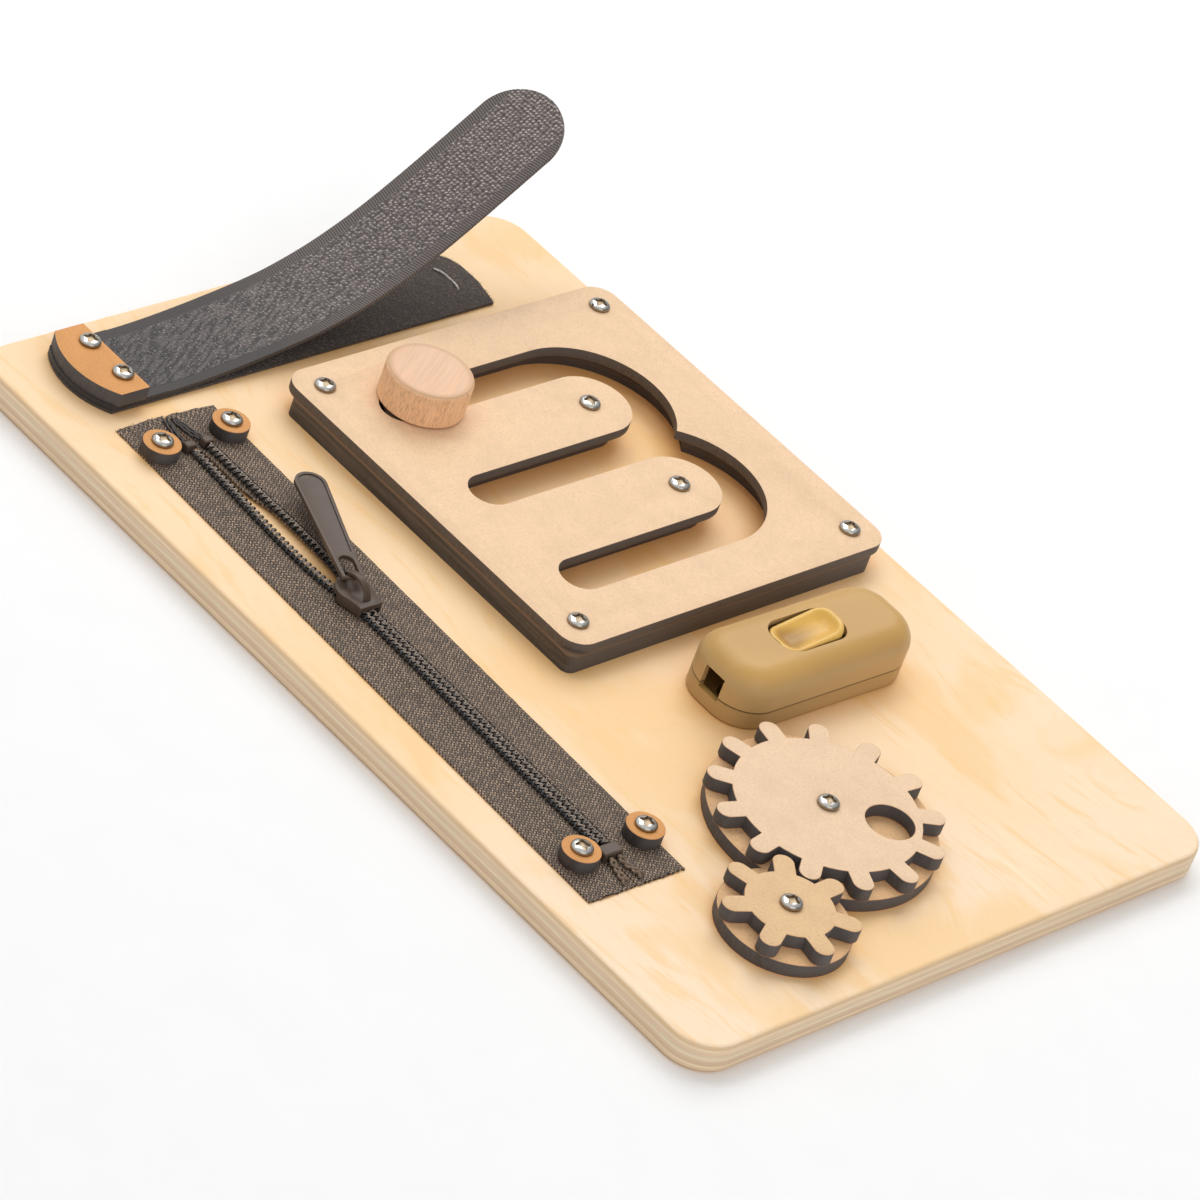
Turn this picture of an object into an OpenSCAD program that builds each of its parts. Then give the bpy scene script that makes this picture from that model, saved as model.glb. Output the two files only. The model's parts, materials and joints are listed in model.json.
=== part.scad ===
// Wooden busy board for a small child: a plywood panel that carries a knob maze, a zipper,
// a hook-and-loop strap, an inline rocker switch and a pair of meshing gears.
// Millimetres. Origin at the centre of the panel's underside, +X along the long side,
// +Z out of the face that is played with.

/* [Panel] */
// Length of the plywood panel
board_length = 300; // [290:1:340]
// Width of the plywood panel
board_width = 200; // [196:1:240]
// Thickness of the plywood panel
board_thick = 9; // [8:0.5:15]
// Radius of the panel's corners
board_corner = 12; // [6:1:20]
// Rounding of the panel's rims
board_rim = 1.5; // [0.5:0.1:2.5]

/* [Maze] */
// Side of the square maze plate
maze_side = 124; // [120:1:130]
// Centre of the maze along X
maze_x = -40; // [-42:0.5:-38]
// Centre of the maze along Y
maze_y = 31.2; // [30:0.2:34]
// Thickness of the maze plate
plate_thick = 3; // [2.5:0.1:4]
// Height of the spacer frame under the plate
spacer_thick = 6; // [6:0.5:9]
// Radius of the maze plate's corners
plate_corner = 7; // [3:0.5:8]
// Width of the slot that the knob runs in
slot_width = 13; // [11:0.5:15]
// Distance between neighbouring slots
slot_pitch = 38; // [36:0.5:40]
// Distance from the maze centre down to the round end of the slots
slot_low = 37.7; // [34:0.5:40]
// Distance from the maze centre up to where the slots start to curve
slot_high = 17.8; // [14:0.5:19]
// Extra width of the hollow under the plate on each side of the slot
hollow_grow = 4; // [3:0.5:5]
// Inset of the spacer under the two far sides of the plate
spacer_inset = 5; // [2:0.5:5]
// Distance from a plate side to the screws at its corners
maze_screw_edge = 8.7; // [8:0.1:10]

/* [Knob] */
// Diameter of the beech knob
knob_d = 25.2; // [22:0.2:30]
// Height of the beech knob
knob_height = 10.7; // [9:0.1:18]
// Depth of the dish in the knob's top
knob_dish = 0.6; // [0.2:0.1:1]
// Height of the knob's centre above the round end of its slot
knob_start = 7; // [1:0.5:40]
// Gap between knob and plate
knob_gap = 0.3; // [0.2:0.05:0.6]
// Sideways play of the knob's neck in the slot
neck_play = 0.3; // [0.2:0.05:0.5]

/* [Gears] */
// Place of the large gear along X
gear_x = 97.4; // [95:0.2:99]
// Place of the large gear along Y
gear_y = -6.8; // [-10:0.2:-5]
// Module of both gears
gear_module = 4.6; // [4.5:0.02:4.8]
// Direction from the large gear to the small one
mesh_angle = -57; // [-62:0.5:-54]
// Height of a tooth outside the pitch circle
tooth_out = 3.2; // [2.6:0.1:3.4]
// Depth of a tooth gap inside the pitch circle
tooth_in = 3.7; // [3.5:0.1:4.2]
// Width of a tooth
tooth_width = 6; // [5:0.1:6.2]
// Thickness of the gear and base layers
gear_thick = 4.2; // [3:0.1:5]
// Diameter of the finger hole in the large gear
finger_hole_d = 13.8; // [12:0.2:15]
// Distance of the finger hole from the large gear's centre
finger_hole_r = 17.1; // [16:0.1:17.5]
// Direction of the finger hole
finger_hole_angle = 42.8; // [0:1:359]
// How far each base disc stays inside the tips of its gear
base_inset = 0.9; // [0.4:0.1:1.5]
// Running clearance between gear bore and screw shank
gear_play = 0.06; // [0.03:0.01:0.1]
// Gap under and over each gear
gear_gap = 0.15; // [0.1:0.05:0.3]

/* [Switch] */
// Centre of the switch along X
switch_x = 47.8; // [46:0.2:48]
// Centre of the switch along Y
switch_y = 31.8; // [30:0.2:34]
// Turn of the switch about Z
switch_turn = -1.3; // [-3:0.1:3]
// Length of the switch housing
switch_length = 69; // [64:0.5:72]
// Width of the switch housing
switch_width = 27.2; // [25:0.2:29]
// Height of the lower shell
shell_low = 5.8; // [5:0.1:7]
// Height of the upper shell
shell_up = 11.4; // [11:0.1:13]
// Plan radius of the housing's corners
shell_corner = 11; // [9:0.5:12]
// Rounding of the upper shell's rim
shell_round = 7; // [4:0.5:7]
// Wall thickness of the housing
shell_wall = 1.8; // [1.4:0.1:2.4]
// Width of the square cord inlet
inlet_width = 7.3; // [6:0.1:8]
// Length of the rocker opening
rocker_length = 24.4; // [23:0.2:26]
// Width of the rocker opening
rocker_width = 13.4; // [12:0.2:14]
// Offset of the rocker from the middle of the housing
rocker_shift = -1.8; // [-4:0.2:4]
// Tilt of the rocker to either side
rocker_tilt = 8; // [5:0.5:9]

/* [Zipper] */
// Middle of the zipper along X
zip_x = -6; // [-10:0.5:-2]
// Distance of the zipper's middle from the panel's near side
zip_edge = 31; // [29:0.2:32]
// Turn of the zipper about Z
zip_turn = -1.4; // [-2:0.1:1]
// Length of the tapes
tape_length = 200; // [192:1:206]
// Width of each tape
tape_width = 17; // [15:0.5:18]
// Thickness of the woven tape
tape_thick = 0.6; // [0.4:0.05:0.7]
// Half width of the closed chain of teeth
coil_half = 3; // [2.8:0.1:3.2]
// Height of the teeth
coil_height = 1.9; // [1.7:0.1:2.1]
// Distance between neighbouring teeth on one tape
coil_pitch = 1.9; // [1.8:0.05:2.2]
// Largest half gap between the parted rows of teeth
split_half = 2.8; // [2.4:0.1:3.4]
// Place of the slider along the zipper
slider_at = -18; // [-30:1:10]
// Length of the slider
slider_length = 13; // [12:0.5:15]
// Width of the slider at its broad end
slider_width = 10.8; // [10.4:0.1:12]
// Height of the slider's bridge
bridge_rise = 4.5; // [4.3:0.1:5]
// Length of the pull tab from its pivot
tab_length = 43.5; // [36:0.5:46]
// Width of the pull tab at its round end
tab_width = 9.2; // [8:0.2:10]
// Sideways turn of the pull tab
tab_turn = 22; // [-22:0.5:22]
// Diameter of the round washers that hold the tapes
washer_d = 10.8; // [10:0.2:11]
// Thickness of those washers
washer_thick = 4; // [3:0.1:4]

/* [Strap] */
// Share of the free room between the panel's end and the maze that is left outside the strap
strap_share = 0.408; // [0.3:0.01:0.6]
// Width of the strap
strap_width = 28.4; // [25:0.2:29]
// Thickness of the strap
strap_thick = 1.4; // [1.2:0.1:1.6]
// Thickness of the loop strip under it
loop_thick = 1; // [0.8:0.1:1.2]
// Distance of the loop strip's free end from the panel's far side
loop_edge = 33.7; // [20:0.5:40]
// Distance of the clamping bar's inner edge from the panel's near side
bar_edge = 31.2; // [30:0.2:32]
// Depth of the clamping bar at its ends
bar_depth = 10; // [9:0.5:11]
// Bulge of the clamping bar's outer edge
bar_bulge = 5.3; // [4:0.1:6]
// Length of the strap that lies flat before it starts to lift
strap_flat = 20.8; // [13:0.2:24]
// Bend of the strap at each of its five folds
strap_bend = 7.5; // [5:0.5:8]
// Thickness of the fibreboard bar
bar_thick = 4.2; // [3:0.1:5]

/* [Screws] */
// Diameter of the screw shanks
screw_d = 3; // [2.5:0.1:3.2]
// Diameter of the pan heads
head_d = 6.2; // [5.6:0.1:7]
// Height of the pan heads
head_height = 1.7; // [1.4:0.1:1.8]
// How far each screw reaches into the panel
screw_bite = 6; // [4:0.5:7]

/* [Hidden] */
$fn = 48;

birch = [0.97, 0.84, 0.66];
fibre = [0.93, 0.80, 0.66];
orange_fibre = [0.87, 0.62, 0.35];
beech = [0.87, 0.66, 0.49];
gold_plastic = [0.75, 0.62, 0.42];
steel = [0.78, 0.78, 0.78];
dark_metal = [0.32, 0.29, 0.28];
black_tape = [0.27, 0.24, 0.22];
brass = [0.80, 0.65, 0.35];
over = 1;               // how far a cutter runs past the face it cuts
hair = 0.05;            // clearance of a screw in its hole

screw_r = screw_d / 2;
plate_bottom = board_thick + spacer_thick;
plate_top = plate_bottom + plate_thick;
big_teeth = 13;
small_teeth = 7;
big_pitch_r = gear_module * big_teeth / 2;
small_pitch_r = gear_module * small_teeth / 2;
small_x = gear_x + (big_pitch_r + small_pitch_r) * cos(mesh_angle);
small_y = gear_y + (big_pitch_r + small_pitch_r) * sin(mesh_angle);
big_phase = 3.33;       // turn of the nearest large tooth from the line of centres
gear_bottom = board_thick + gear_thick + gear_gap;
gear_top = gear_bottom + gear_thick;
gear_bore_r = screw_r + gear_play;
seam_z = board_thick + shell_low;
switch_top = seam_z + shell_up;
knob_x = maze_x - slot_pitch;
zip_y = zip_edge - board_width / 2;
strap_room = board_length / 2 + maze_x - maze_side / 2 - strap_width;
strap_x = (strap_width - board_length) / 2 + strap_share * strap_room;
loop_end = board_width / 2 - loop_edge;
bar_inner = bar_edge - board_width / 2;
strap_lift = bar_inner + strap_flat;
slot_end_y = maze_y - slot_low;
slot_arc_y = maze_y + slot_high;
knob_y = slot_end_y + knob_start;

// ---- shared shapes ------------------------------------------------------

// Right half of a slab's cross-section, with round rims
module rim_profile(half, thick, top, bottom) {
    intersection() {
        square([half, thick]);
        union() {
            square([half - max(top, bottom), thick]);
            translate([0, bottom])
                square([half, thick - top - bottom]);
            square([half - bottom, bottom + 0.01]);
            translate([0, thick - top - 0.01])
                square([half - top, top + 0.01]);
            if (top > 0)
                translate([half - top, thick - top])
                    circle(top);
            if (bottom > 0)
                translate([half - bottom, bottom])
                    circle(bottom);
        }
    }
}

// The same section on both sides of the middle
module slab_profile(half, thick, top, bottom) {
    rim_profile(half, thick, top, bottom);
    mirror([1, 0])
        rim_profile(half, thick, top, bottom);
}

// A slab with round corners in plan and round rims, standing on z = 0
module round_slab(length, width, thick, corner, top, bottom = 0) {
    rotate([90, 0, 0])
        linear_extrude(width - 2 * corner, center = true)
            slab_profile(length / 2, thick, top, bottom);
    rotate([90, 0, 90])
        linear_extrude(length - 2 * corner, center = true)
            slab_profile(width / 2, thick, top, bottom);
    for (sx = [-1, 1], sy = [-1, 1])
        translate([sx * (length / 2 - corner), sy * (width / 2 - corner), 0])
            rotate_extrude()
                rim_profile(corner, thick, top, bottom);
}

// A flat rectangle with round corners
module round_rect(length, width, corner) {
    square([length - 2 * corner, width], center = true);
    square([length, width - 2 * corner], center = true);
    for (sx = [-1, 1], sy = [-1, 1])
        translate([sx * (length / 2 - corner), sy * (width / 2 - corner)])
            circle(corner);
}

// A pan-head screw with its head on z = 0 and its shank below
module pan_screw(shank) {
    dome_r = (head_d * head_d / 4 + head_height * head_height) / (2 * head_height);
    slot_w = head_d * 0.17;
    slot_l = head_d * 0.62;
    difference() {
        union() {
            translate([0, 0, -shank])
                cylinder(h = shank + head_height / 3, r = screw_r);
            cylinder(h = head_height * 0.35, d = head_d);
            intersection() {
                cylinder(h = head_height, d = head_d);
                translate([0, 0, head_height - dome_r + head_height * 0.3])
                    sphere(dome_r, $fn = 64);
            }
        }
        for (a = [0, 90])
            rotate(a)
                translate([-slot_l / 2, -slot_w / 2, head_height * 0.45])
                    cube([slot_l, slot_w, head_height]);
    }
}

// A hole for a screw's shank
module screw_hole(depth) {
    translate([0, 0, -depth])
        cylinder(h = depth + over, r = screw_r + hair);
}

// ---- screw places -------------------------------------------------------

maze_screw_reach = maze_side / 2 - maze_screw_edge;
maze_screw_places = [
    for (sx = [-1, 1], sy = [-1, 1])
        [maze_x + sx * maze_screw_reach, maze_y + sy * maze_screw_reach],
    for (sx = [-1, 1])
        [maze_x + sx * slot_pitch / 2, slot_arc_y]];
gear_places = [[gear_x, gear_y], [small_x, small_y]];
bar_screw_aside = 7.3;      // from the strap's middle to a screw of the bar
bar_screw_edge = 3.6;       // from the bar's inner edge to its screws
bar_screw_places = [for (s = [-1, 1]) [strap_x + s * bar_screw_aside, bar_inner - bar_screw_edge]];
switch_screw_edge = 9;      // from an end of the housing to its screw
switch_screw_offset = switch_length / 2 - switch_screw_edge;
// places of the washers along and beside the zipper, as they were screwed on by hand
zip_hold_places = [[-88.4, -11.8], [-89.4, 13.4], [86.4, -9.2], [86, 14]];

module at_each(places) {
    for (p = places)
        translate([p[0], p[1], 0])
            children();
}

module zip_place() {
    translate([zip_x, zip_y, 0])
        rotate(zip_turn)
            children();
}

module switch_place() {
    translate([switch_x, switch_y, 0])
        rotate(switch_turn)
            children();
}

module switch_screw_spots() {
    for (s = [-1, 1])
        translate([0, s * switch_screw_offset, 0])
            children();
}

// ---- panel --------------------------------------------------------------

module base_board() {
    color(birch)
        difference() {
            round_slab(board_length, board_width, board_thick, board_corner, board_rim, board_rim);
            translate([0, 0, board_thick]) {
                at_each(concat(maze_screw_places, gear_places, bar_screw_places))
                    screw_hole(screw_bite + hair);
                zip_place()
                    at_each(zip_hold_places)
                        screw_hole(screw_bite + hair);
                switch_place()
                    switch_screw_spots()
                        screw_hole(screw_bite + hair);
            }
        }
}

// ---- maze ---------------------------------------------------------------

// Plan of the track: three slots joined by two round shoulders, widened by grow
module track(grow) {
    half = slot_width / 2 + grow;
    for (i = [-1, 0, 1])
        translate([maze_x + i * slot_pitch, 0]) {
            translate([-half, slot_end_y])
                square([2 * half, slot_arc_y - slot_end_y]);
            translate([0, slot_end_y])
                circle(half);
        }
    for (s = [-1, 1])
        translate([maze_x + s * slot_pitch / 2, slot_arc_y])
            difference() {
                circle(slot_pitch / 2 + half, $fn = 96);
                circle(slot_pitch / 2 - half);
                translate([-slot_pitch, -2 * slot_pitch])
                    square([2 * slot_pitch, 2 * slot_pitch]);
            }
}

module maze_plate() {
    color(fibre)
        translate([0, 0, plate_bottom])
            difference() {
                linear_extrude(plate_thick)
                    difference() {
                        translate([maze_x, maze_y])
                            round_rect(maze_side, maze_side, plate_corner);
                        track(0);
                    }
                translate([0, 0, plate_thick])
                    at_each(maze_screw_places)
                        screw_hole(plate_thick + over);
            }
}

spacer_corner = 3;
seam_shift = 2.5;           // how far the seam lies left of the right-hand tongue's middle
seam_step = 10;             // where the seam steps to, right of the maze's middle
seam_rail = 3;              // how far the right-hand piece reaches below the slots' ends
seam_shoulder = 2;          // and above the inner edge of the shoulders

// The spacer's whole plan, before it is cut in two
module spacer_plan() {
    side = maze_side - spacer_inset;
    difference() {
        translate([maze_x + spacer_inset / 2, maze_y - spacer_inset / 2])
            round_rect(side, side, spacer_corner);
        track(hollow_grow);
        for (p = maze_screw_places)
            translate(p)
                circle(screw_r + hair);
    }
}

// The region that belongs to the right-hand spacer
module right_region() {
    seam_x = maze_x + slot_pitch / 2 - seam_shift;
    far = 2 * maze_side;
    rail_y = slot_end_y - slot_width / 2 - hollow_grow - seam_rail;
    shoulder_y = slot_arc_y + slot_pitch / 2 - slot_width / 2 - hollow_grow + seam_shoulder;
    translate([seam_x, -far])
        square([far, 2 * far]);
    translate([maze_x + seam_step, rail_y])
        square([seam_x - maze_x, shoulder_y - rail_y + over]);
    translate([maze_x, shoulder_y])
        square([seam_x - maze_x + over, far]);
}

module maze_spacer_left() {
    color(dark_metal)
        translate([0, 0, board_thick])
            linear_extrude(spacer_thick)
                difference() {
                    spacer_plan();
                    right_region();
                }
}

module maze_spacer_right() {
    color(dark_metal)
        translate([0, 0, board_thick])
            linear_extrude(spacer_thick)
                intersection() {
                    spacer_plan();
                    right_region();
                }
}

module maze_screws() {
    color(steel)
        translate([0, 0, plate_top])
            at_each(maze_screw_places)
                pan_screw(plate_thick + spacer_thick + screw_bite);
}

// ---- knob ---------------------------------------------------------------

neck_r = slot_width / 2 - neck_play;
flange_play = 0.9;          // sideways play of the bush's flange in the hollow
flange_lift = 1;            // height of the flange over the panel
flange_r = slot_width / 2 + hollow_grow - flange_play;
flange_thick = spacer_thick - 1.6;
flange_bottom = board_thick + flange_lift;
knob_bottom = plate_top + knob_gap;
knob_roof = 3.5;            // wood left over the screw's bore
knob_bore_top = knob_bottom + knob_height - knob_roof;

// Stepped bush: a flange held under the plate and a neck that fills the slot
module knob_guide() {
    color(fibre)
        translate([knob_x, knob_y, 0])
            difference() {
                union() {
                    translate([0, 0, flange_bottom])
                        cylinder(h = flange_thick, r = flange_r);
                    translate([0, 0, flange_bottom])
                        cylinder(h = knob_bottom - 0.15 - flange_bottom, r = neck_r);
                }
                translate([0, 0, flange_bottom - over])
                    cylinder(h = plate_top, r = screw_r + gear_play);
                translate([0, 0, flange_bottom - over])
                    cylinder(h = head_height + 0.3 + over, d = head_d + 0.4);
            }
}

// Beech knob with a shallow dish in its top
module knob_cap() {
    knob_r = knob_d / 2;
    dish_r = (knob_r * knob_r + knob_dish * knob_dish) / (2 * knob_dish);
    color(beech)
        translate([knob_x, knob_y, knob_bottom])
            difference() {
                rotate_extrude($fn = 96)
                    rim_profile(knob_r, knob_height, 1.2, 0.6);
                translate([0, 0, knob_height - knob_dish + dish_r])
                    sphere(dish_r, $fn = 128);
                translate([0, 0, -over])
                    cylinder(h = knob_bore_top - knob_bottom + over, r = screw_r);
            }
}

// Screw from below that joins the guide to the knob
module knob_screw() {
    head_bottom = flange_bottom + 0.15;
    color(steel)
        translate([knob_x, knob_y, head_bottom]) {
            cylinder(h = head_height, d = head_d);
            cylinder(h = knob_bore_top - head_bottom - 0.2, r = screw_r);
        }
}

// ---- gears --------------------------------------------------------------

// Plan of a gear with finger-shaped teeth; the first tooth lies on +X
module gear_plan(teeth, pitch_r) {
    tip = pitch_r + tooth_out;
    half = tooth_width / 2;
    circle(pitch_r - tooth_in, $fn = 96);
    for (i = [0 : teeth - 1])
        rotate(i * 360 / teeth) {
            translate([0, -half])
                square([tip - half, tooth_width]);
            translate([tip - half, 0])
                circle(half, $fn = 32);
        }
}

module gear_base() {
    color(fibre)
        translate([0, 0, board_thick])
            linear_extrude(gear_thick)
                difference() {
                    union() {
                        translate([gear_x, gear_y])
                            circle(big_pitch_r + tooth_out - base_inset, $fn = 96);
                        translate([small_x, small_y])
                            circle(small_pitch_r + tooth_out - base_inset, $fn = 96);
                    }
                    for (p = gear_places)
                        translate(p)
                            circle(screw_r + hair);
                }
}

module big_gear() {
    color(fibre)
        translate([gear_x, gear_y, gear_bottom])
            difference() {
                linear_extrude(gear_thick)
                    rotate(mesh_angle + big_phase)
                        gear_plan(big_teeth, big_pitch_r);
                translate([0, 0, -over])
                    cylinder(h = gear_thick + 2 * over, r = gear_bore_r);
                rotate(finger_hole_angle)
                    translate([finger_hole_r, 0, -over])
                        cylinder(h = gear_thick + 2 * over, d = finger_hole_d, $fn = 64);
            }
}

module small_gear() {
    // a gap of the small gear faces the large tooth that is nearest to the line of centres
    gap_shift = -big_phase * big_pitch_r / small_pitch_r;
    color(fibre)
        translate([small_x, small_y, gear_bottom])
            difference() {
                linear_extrude(gear_thick)
                    rotate(mesh_angle + 180 + gap_shift + 180 / small_teeth)
                        gear_plan(small_teeth, small_pitch_r);
                translate([0, 0, -over])
                    cylinder(h = gear_thick + 2 * over, r = gear_bore_r);
            }
}

module gear_screws() {
    head_seat = gear_top + gear_gap;
    color(steel)
        translate([0, 0, head_seat])
            at_each(gear_places)
                pan_screw(head_seat - board_thick + screw_bite);
}

// ---- inline switch ------------------------------------------------------

inlet_low = seam_z - 1.2;
floor_thick = 1.6;
rocker_y = rocker_shift;
axle_z = switch_top - 4.2;
axle_r = 1;
axle_play = 0.05;
ear_thick = 1.6;
ear_x = rocker_width / 2 + 0.4;
rocker_gap = 0.5;
rocker_half = rocker_length / 2 - rocker_gap + 0.2;
rocker_rise = 5.6;
skirt_depth = 3;
contact_thick = 0.6;
contact_length = 17;

// The two square cord inlets, as one cutter through both ends
module inlet_cutter() {
    translate([-inlet_width / 2, -switch_length, inlet_low])
        cube([inlet_width, 2 * switch_length, inlet_width]);
}

module switch_lower_shell() {
    color(gold_plastic)
        switch_place()
            difference() {
                translate([0, 0, board_thick])
                    round_slab(switch_width, switch_length, shell_low, shell_corner, 0, 0.8);
                translate([0, 0, board_thick + floor_thick])
                    linear_extrude(shell_low)
                        round_rect(switch_width - 2 * shell_wall, switch_length - 2 * shell_wall,
                            shell_corner - shell_wall);
                inlet_cutter();
                translate([0, 0, board_thick + floor_thick])
                    switch_screw_spots()
                        screw_hole(floor_thick + over);
            }
}

module switch_upper_shell() {
    color(gold_plastic)
        switch_place() {
            difference() {
                translate([0, 0, seam_z])
                    round_slab(switch_width, switch_length, shell_up, shell_corner, shell_round);
                translate([0, 0, seam_z - over])
                    round_slab(switch_width - 2 * shell_wall, switch_length - 2 * shell_wall,
                        shell_up - shell_wall + over, shell_corner - shell_wall,
                        shell_round - shell_wall);
                inlet_cutter();
                translate([0, rocker_y, seam_z])
                    linear_extrude(2 * shell_up)
                        round_rect(rocker_width, rocker_length, rocker_width * 0.42);
            }
            // ears that carry the rocker's axle
            for (s = [-1, 1])
                difference() {
                    translate([s * (ear_x + ear_thick / 2) - ear_thick / 2, rocker_y - 2.5, axle_z - 2.5])
                        cube([ear_thick, 5, switch_top - shell_wall - axle_z + 2.5 + 0.2]);
                    translate([0, rocker_y, axle_z])
                        rotate([0, 90, 0])
                            cylinder(h = switch_width, r = axle_r + axle_play, center = true);
                }
        }
}

module switch_screws() {
    color(steel)
        switch_place()
            translate([0, 0, board_thick + floor_thick])
                switch_screw_spots()
                    pan_screw(floor_thick + screw_bite);
}

// Two brass posts that the rocking contact meets in turn
module switch_terminals() {
    post_top = axle_z - (contact_length / 2) * sin(rocker_tilt)
        - (skirt_depth + contact_thick) * cos(rocker_tilt) - 0.3;
    color(brass)
        switch_place()
            for (s = [-1, 1])
                translate([0, rocker_y + s * (contact_length / 2 - 1), board_thick + floor_thick]) {
                    translate([-2.5, -2, 0])
                        cube([5, 4, 2]);
                    cylinder(h = post_top - board_thick - floor_thick, r = 1.4);
                }
}

module rocker_place() {
    switch_place()
        translate([0, rocker_y, axle_z])
            rotate([rocker_tilt, 0, 0])
                children();
}

// Rocker: a scooped key whose two ends turn inside the opening
module rocker() {
    plan_w = rocker_width - 2 * rocker_gap;
    sag = 1.9;
    scoop_r = (rocker_half * rocker_half + sag * sag) / (2 * sag);
    color([0.85, 0.68, 0.34])
        rocker_place()
            difference() {
                intersection() {
                    translate([0, 0, -skirt_depth])
                        linear_extrude(skirt_depth + rocker_rise)
                            round_rect(plan_w, 2 * rocker_half - 1, plan_w * 0.42);
                    rotate([0, 90, 0])
                        cylinder(h = plan_w, r = rocker_half, center = true, $fn = 96);
                }
                translate([0, 0, rocker_rise - sag + scoop_r])
                    rotate([0, 90, 0])
                        cylinder(h = 2 * plan_w, r = scoop_r, center = true, $fn = 128);
                rotate([0, 90, 0])
                    cylinder(h = 2 * plan_w, r = axle_r, center = true);
            }
}

module rocker_axle() {
    color(steel)
        rocker_place()
            rotate([0, 90, 0])
                cylinder(h = 2 * (ear_x + ear_thick) - 0.2, r = axle_r, center = true);
}

module rocker_contact() {
    color(brass)
        rocker_place()
            translate([-1.8, -contact_length / 2, -skirt_depth - contact_thick])
                cube([3.6, contact_length, contact_thick]);
}

// ---- zipper -------------------------------------------------------------

wing_low = board_thick + 0.05;
wing_thick = 0.5;
tape_low = wing_low + wing_thick + 0.1;
coil_low = tape_low + tape_thick;
coil_top = coil_low + coil_height;
split_from = slider_at - 1.5;
top_stop_at = -86.5;
bottom_stop_at = 88.2;
tooth_half = coil_pitch * 0.21;
tooth_reach = 0.8;
coil_back = 1.2;
coil_from = top_stop_at + 2.3;
coil_to = bottom_stop_at - 2.6;
coil_teeth = floor((coil_to - coil_from) / coil_pitch) - 1;
band_inner = 0.3;
band_reach = 9;
flat_inner = 7.8;
rise_length = 1.2;
rise_from = top_stop_at + 5.5;
rise_to = bottom_stop_at - 7.5;
washer_bottom = board_thick + tape_thick;

// Half gap between the two tapes at a place along the zipper
function split(x) =
    let (t = (split_from - x) / (split_from - top_stop_at), c = min(t, 1))
    t <= 0 ? 0 : split_half * (sin(180 * pow(c, 0.6)) * (1 - 0.5 * c) + 0.6 * c * min(1, max(0, 5 - 4 * t)));

// Places between two ends where the edge of a tape is worked out
function steps(from, to) =
    let (n = max(1, ceil(abs(to - from) / 3)))
    [for (i = [0 : n]) from + (to - from) * i / n];

// Plan of a strip of tape from one x to another, between two distances from the gap's edge
module strip_plan(from, to, inner, outer) {
    polygon(concat(
        [for (x = steps(from, to)) [x, inner + split(x)]],
        [for (x = steps(to, from)) [x, outer + split(x)]]));
}

// One tape, drawn on the +Y side: flat where it is held down, raised where the slider passes
module tape() {
    half = tape_length / 2;
    linear_extrude_at(board_thick, tape_thick) {
        polygon(concat(
            [[-half, tape_width], [half, tape_width]],
            [for (x = steps(half, -half)) [x, flat_inner + split(x)]]));
        strip_plan(-half, rise_from + rise_length, band_inner, flat_inner + 1);
        strip_plan(rise_to - rise_length, half, band_inner, flat_inner + 1);
    }
    linear_extrude_at(tape_low, tape_thick)
        strip_plan(rise_from, rise_to, band_inner, band_reach);
    // the steps between the flat and the raised cloth
    linear_extrude_at(board_thick + tape_thick / 2, tape_low - board_thick) {
        strip_plan(rise_from, rise_to, flat_inner, band_reach);
        strip_plan(rise_from, rise_from + rise_length, band_inner, band_reach);
        strip_plan(rise_to - rise_length, rise_to, band_inner, band_reach);
    }
}

module linear_extrude_at(z, height) {
    translate([0, 0, z])
        linear_extrude(height)
            children();
}

module zip_tape_far() {
    color(black_tape)
        difference() {
            zip_place()
                tape();
            zip_holes();
        }
}

module zip_tape_near() {
    color(black_tape)
        difference() {
            zip_place()
                mirror([0, 1, 0])
                    tape();
            zip_holes();
        }
}

module zip_holes() {
    translate([0, 0, board_thick + 2])
        zip_place()
            at_each(zip_hold_places)
                screw_hole(2 + over);
}

// One coil, drawn on the +Y side: a toothed band; its teeth reach across the closed centre line
module coil(offset) {
    first = coil_from + offset;
    linear_extrude_at(coil_low, coil_height)
        polygon(concat(
            [for (i = [0 : coil_teeth - 1])
                let (x = first + i * coil_pitch, s = split(x))
                each [
                    [x - tooth_half, s + coil_back],
                    [x - tooth_half, s - tooth_reach],
                    [x + tooth_half, s - tooth_reach],
                    [x + tooth_half, s + coil_back]]],
            [for (i = [coil_teeth - 1 : -3 : 0])
                let (x = first + i * coil_pitch)
                [x + tooth_half, split(x) + coil_half]],
            [[first - tooth_half, split(first) + coil_half]]));
}

module zip_coil_far() {
    color(black_tape)
        zip_place()
            coil(0);
}

module zip_coil_near() {
    color(black_tape)
        zip_place()
            mirror([0, 1, 0])
                coil(coil_pitch / 2);
}

module zip_top_stops() {
    stop_y = split(top_stop_at) + coil_half / 2;
    color(dark_metal)
        zip_place()
            for (s = [-1, 1])
                translate([top_stop_at, s * stop_y, washer_bottom])
                    stop_clip(2.6, coil_half + 0.4);
}

module zip_bottom_stop() {
    color(dark_metal)
        zip_place()
            translate([bottom_stop_at, 0, washer_bottom])
                stop_clip(4, 2 * coil_half + 0.8);
}

// A pressed metal clip round the end of the teeth
module stop_clip(length, width) {
    linear_extrude(coil_top + 0.2 - washer_bottom)
        round_rect(length, width, 0.6);
}

module zip_washers() {
    color(orange_fibre)
        zip_place()
            at_each(zip_hold_places)
                translate([0, 0, washer_bottom])
                    difference() {
                        cylinder(h = washer_thick, d = washer_d);
                        translate([0, 0, -over])
                            cylinder(h = washer_thick + 2 * over, r = screw_r + hair);
                    }
}

module zip_screws() {
    color(steel)
        translate([0, 0, washer_bottom + washer_thick])
            zip_place()
                at_each(zip_hold_places)
                    pan_screw(washer_thick + tape_thick + screw_bite);
}

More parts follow.
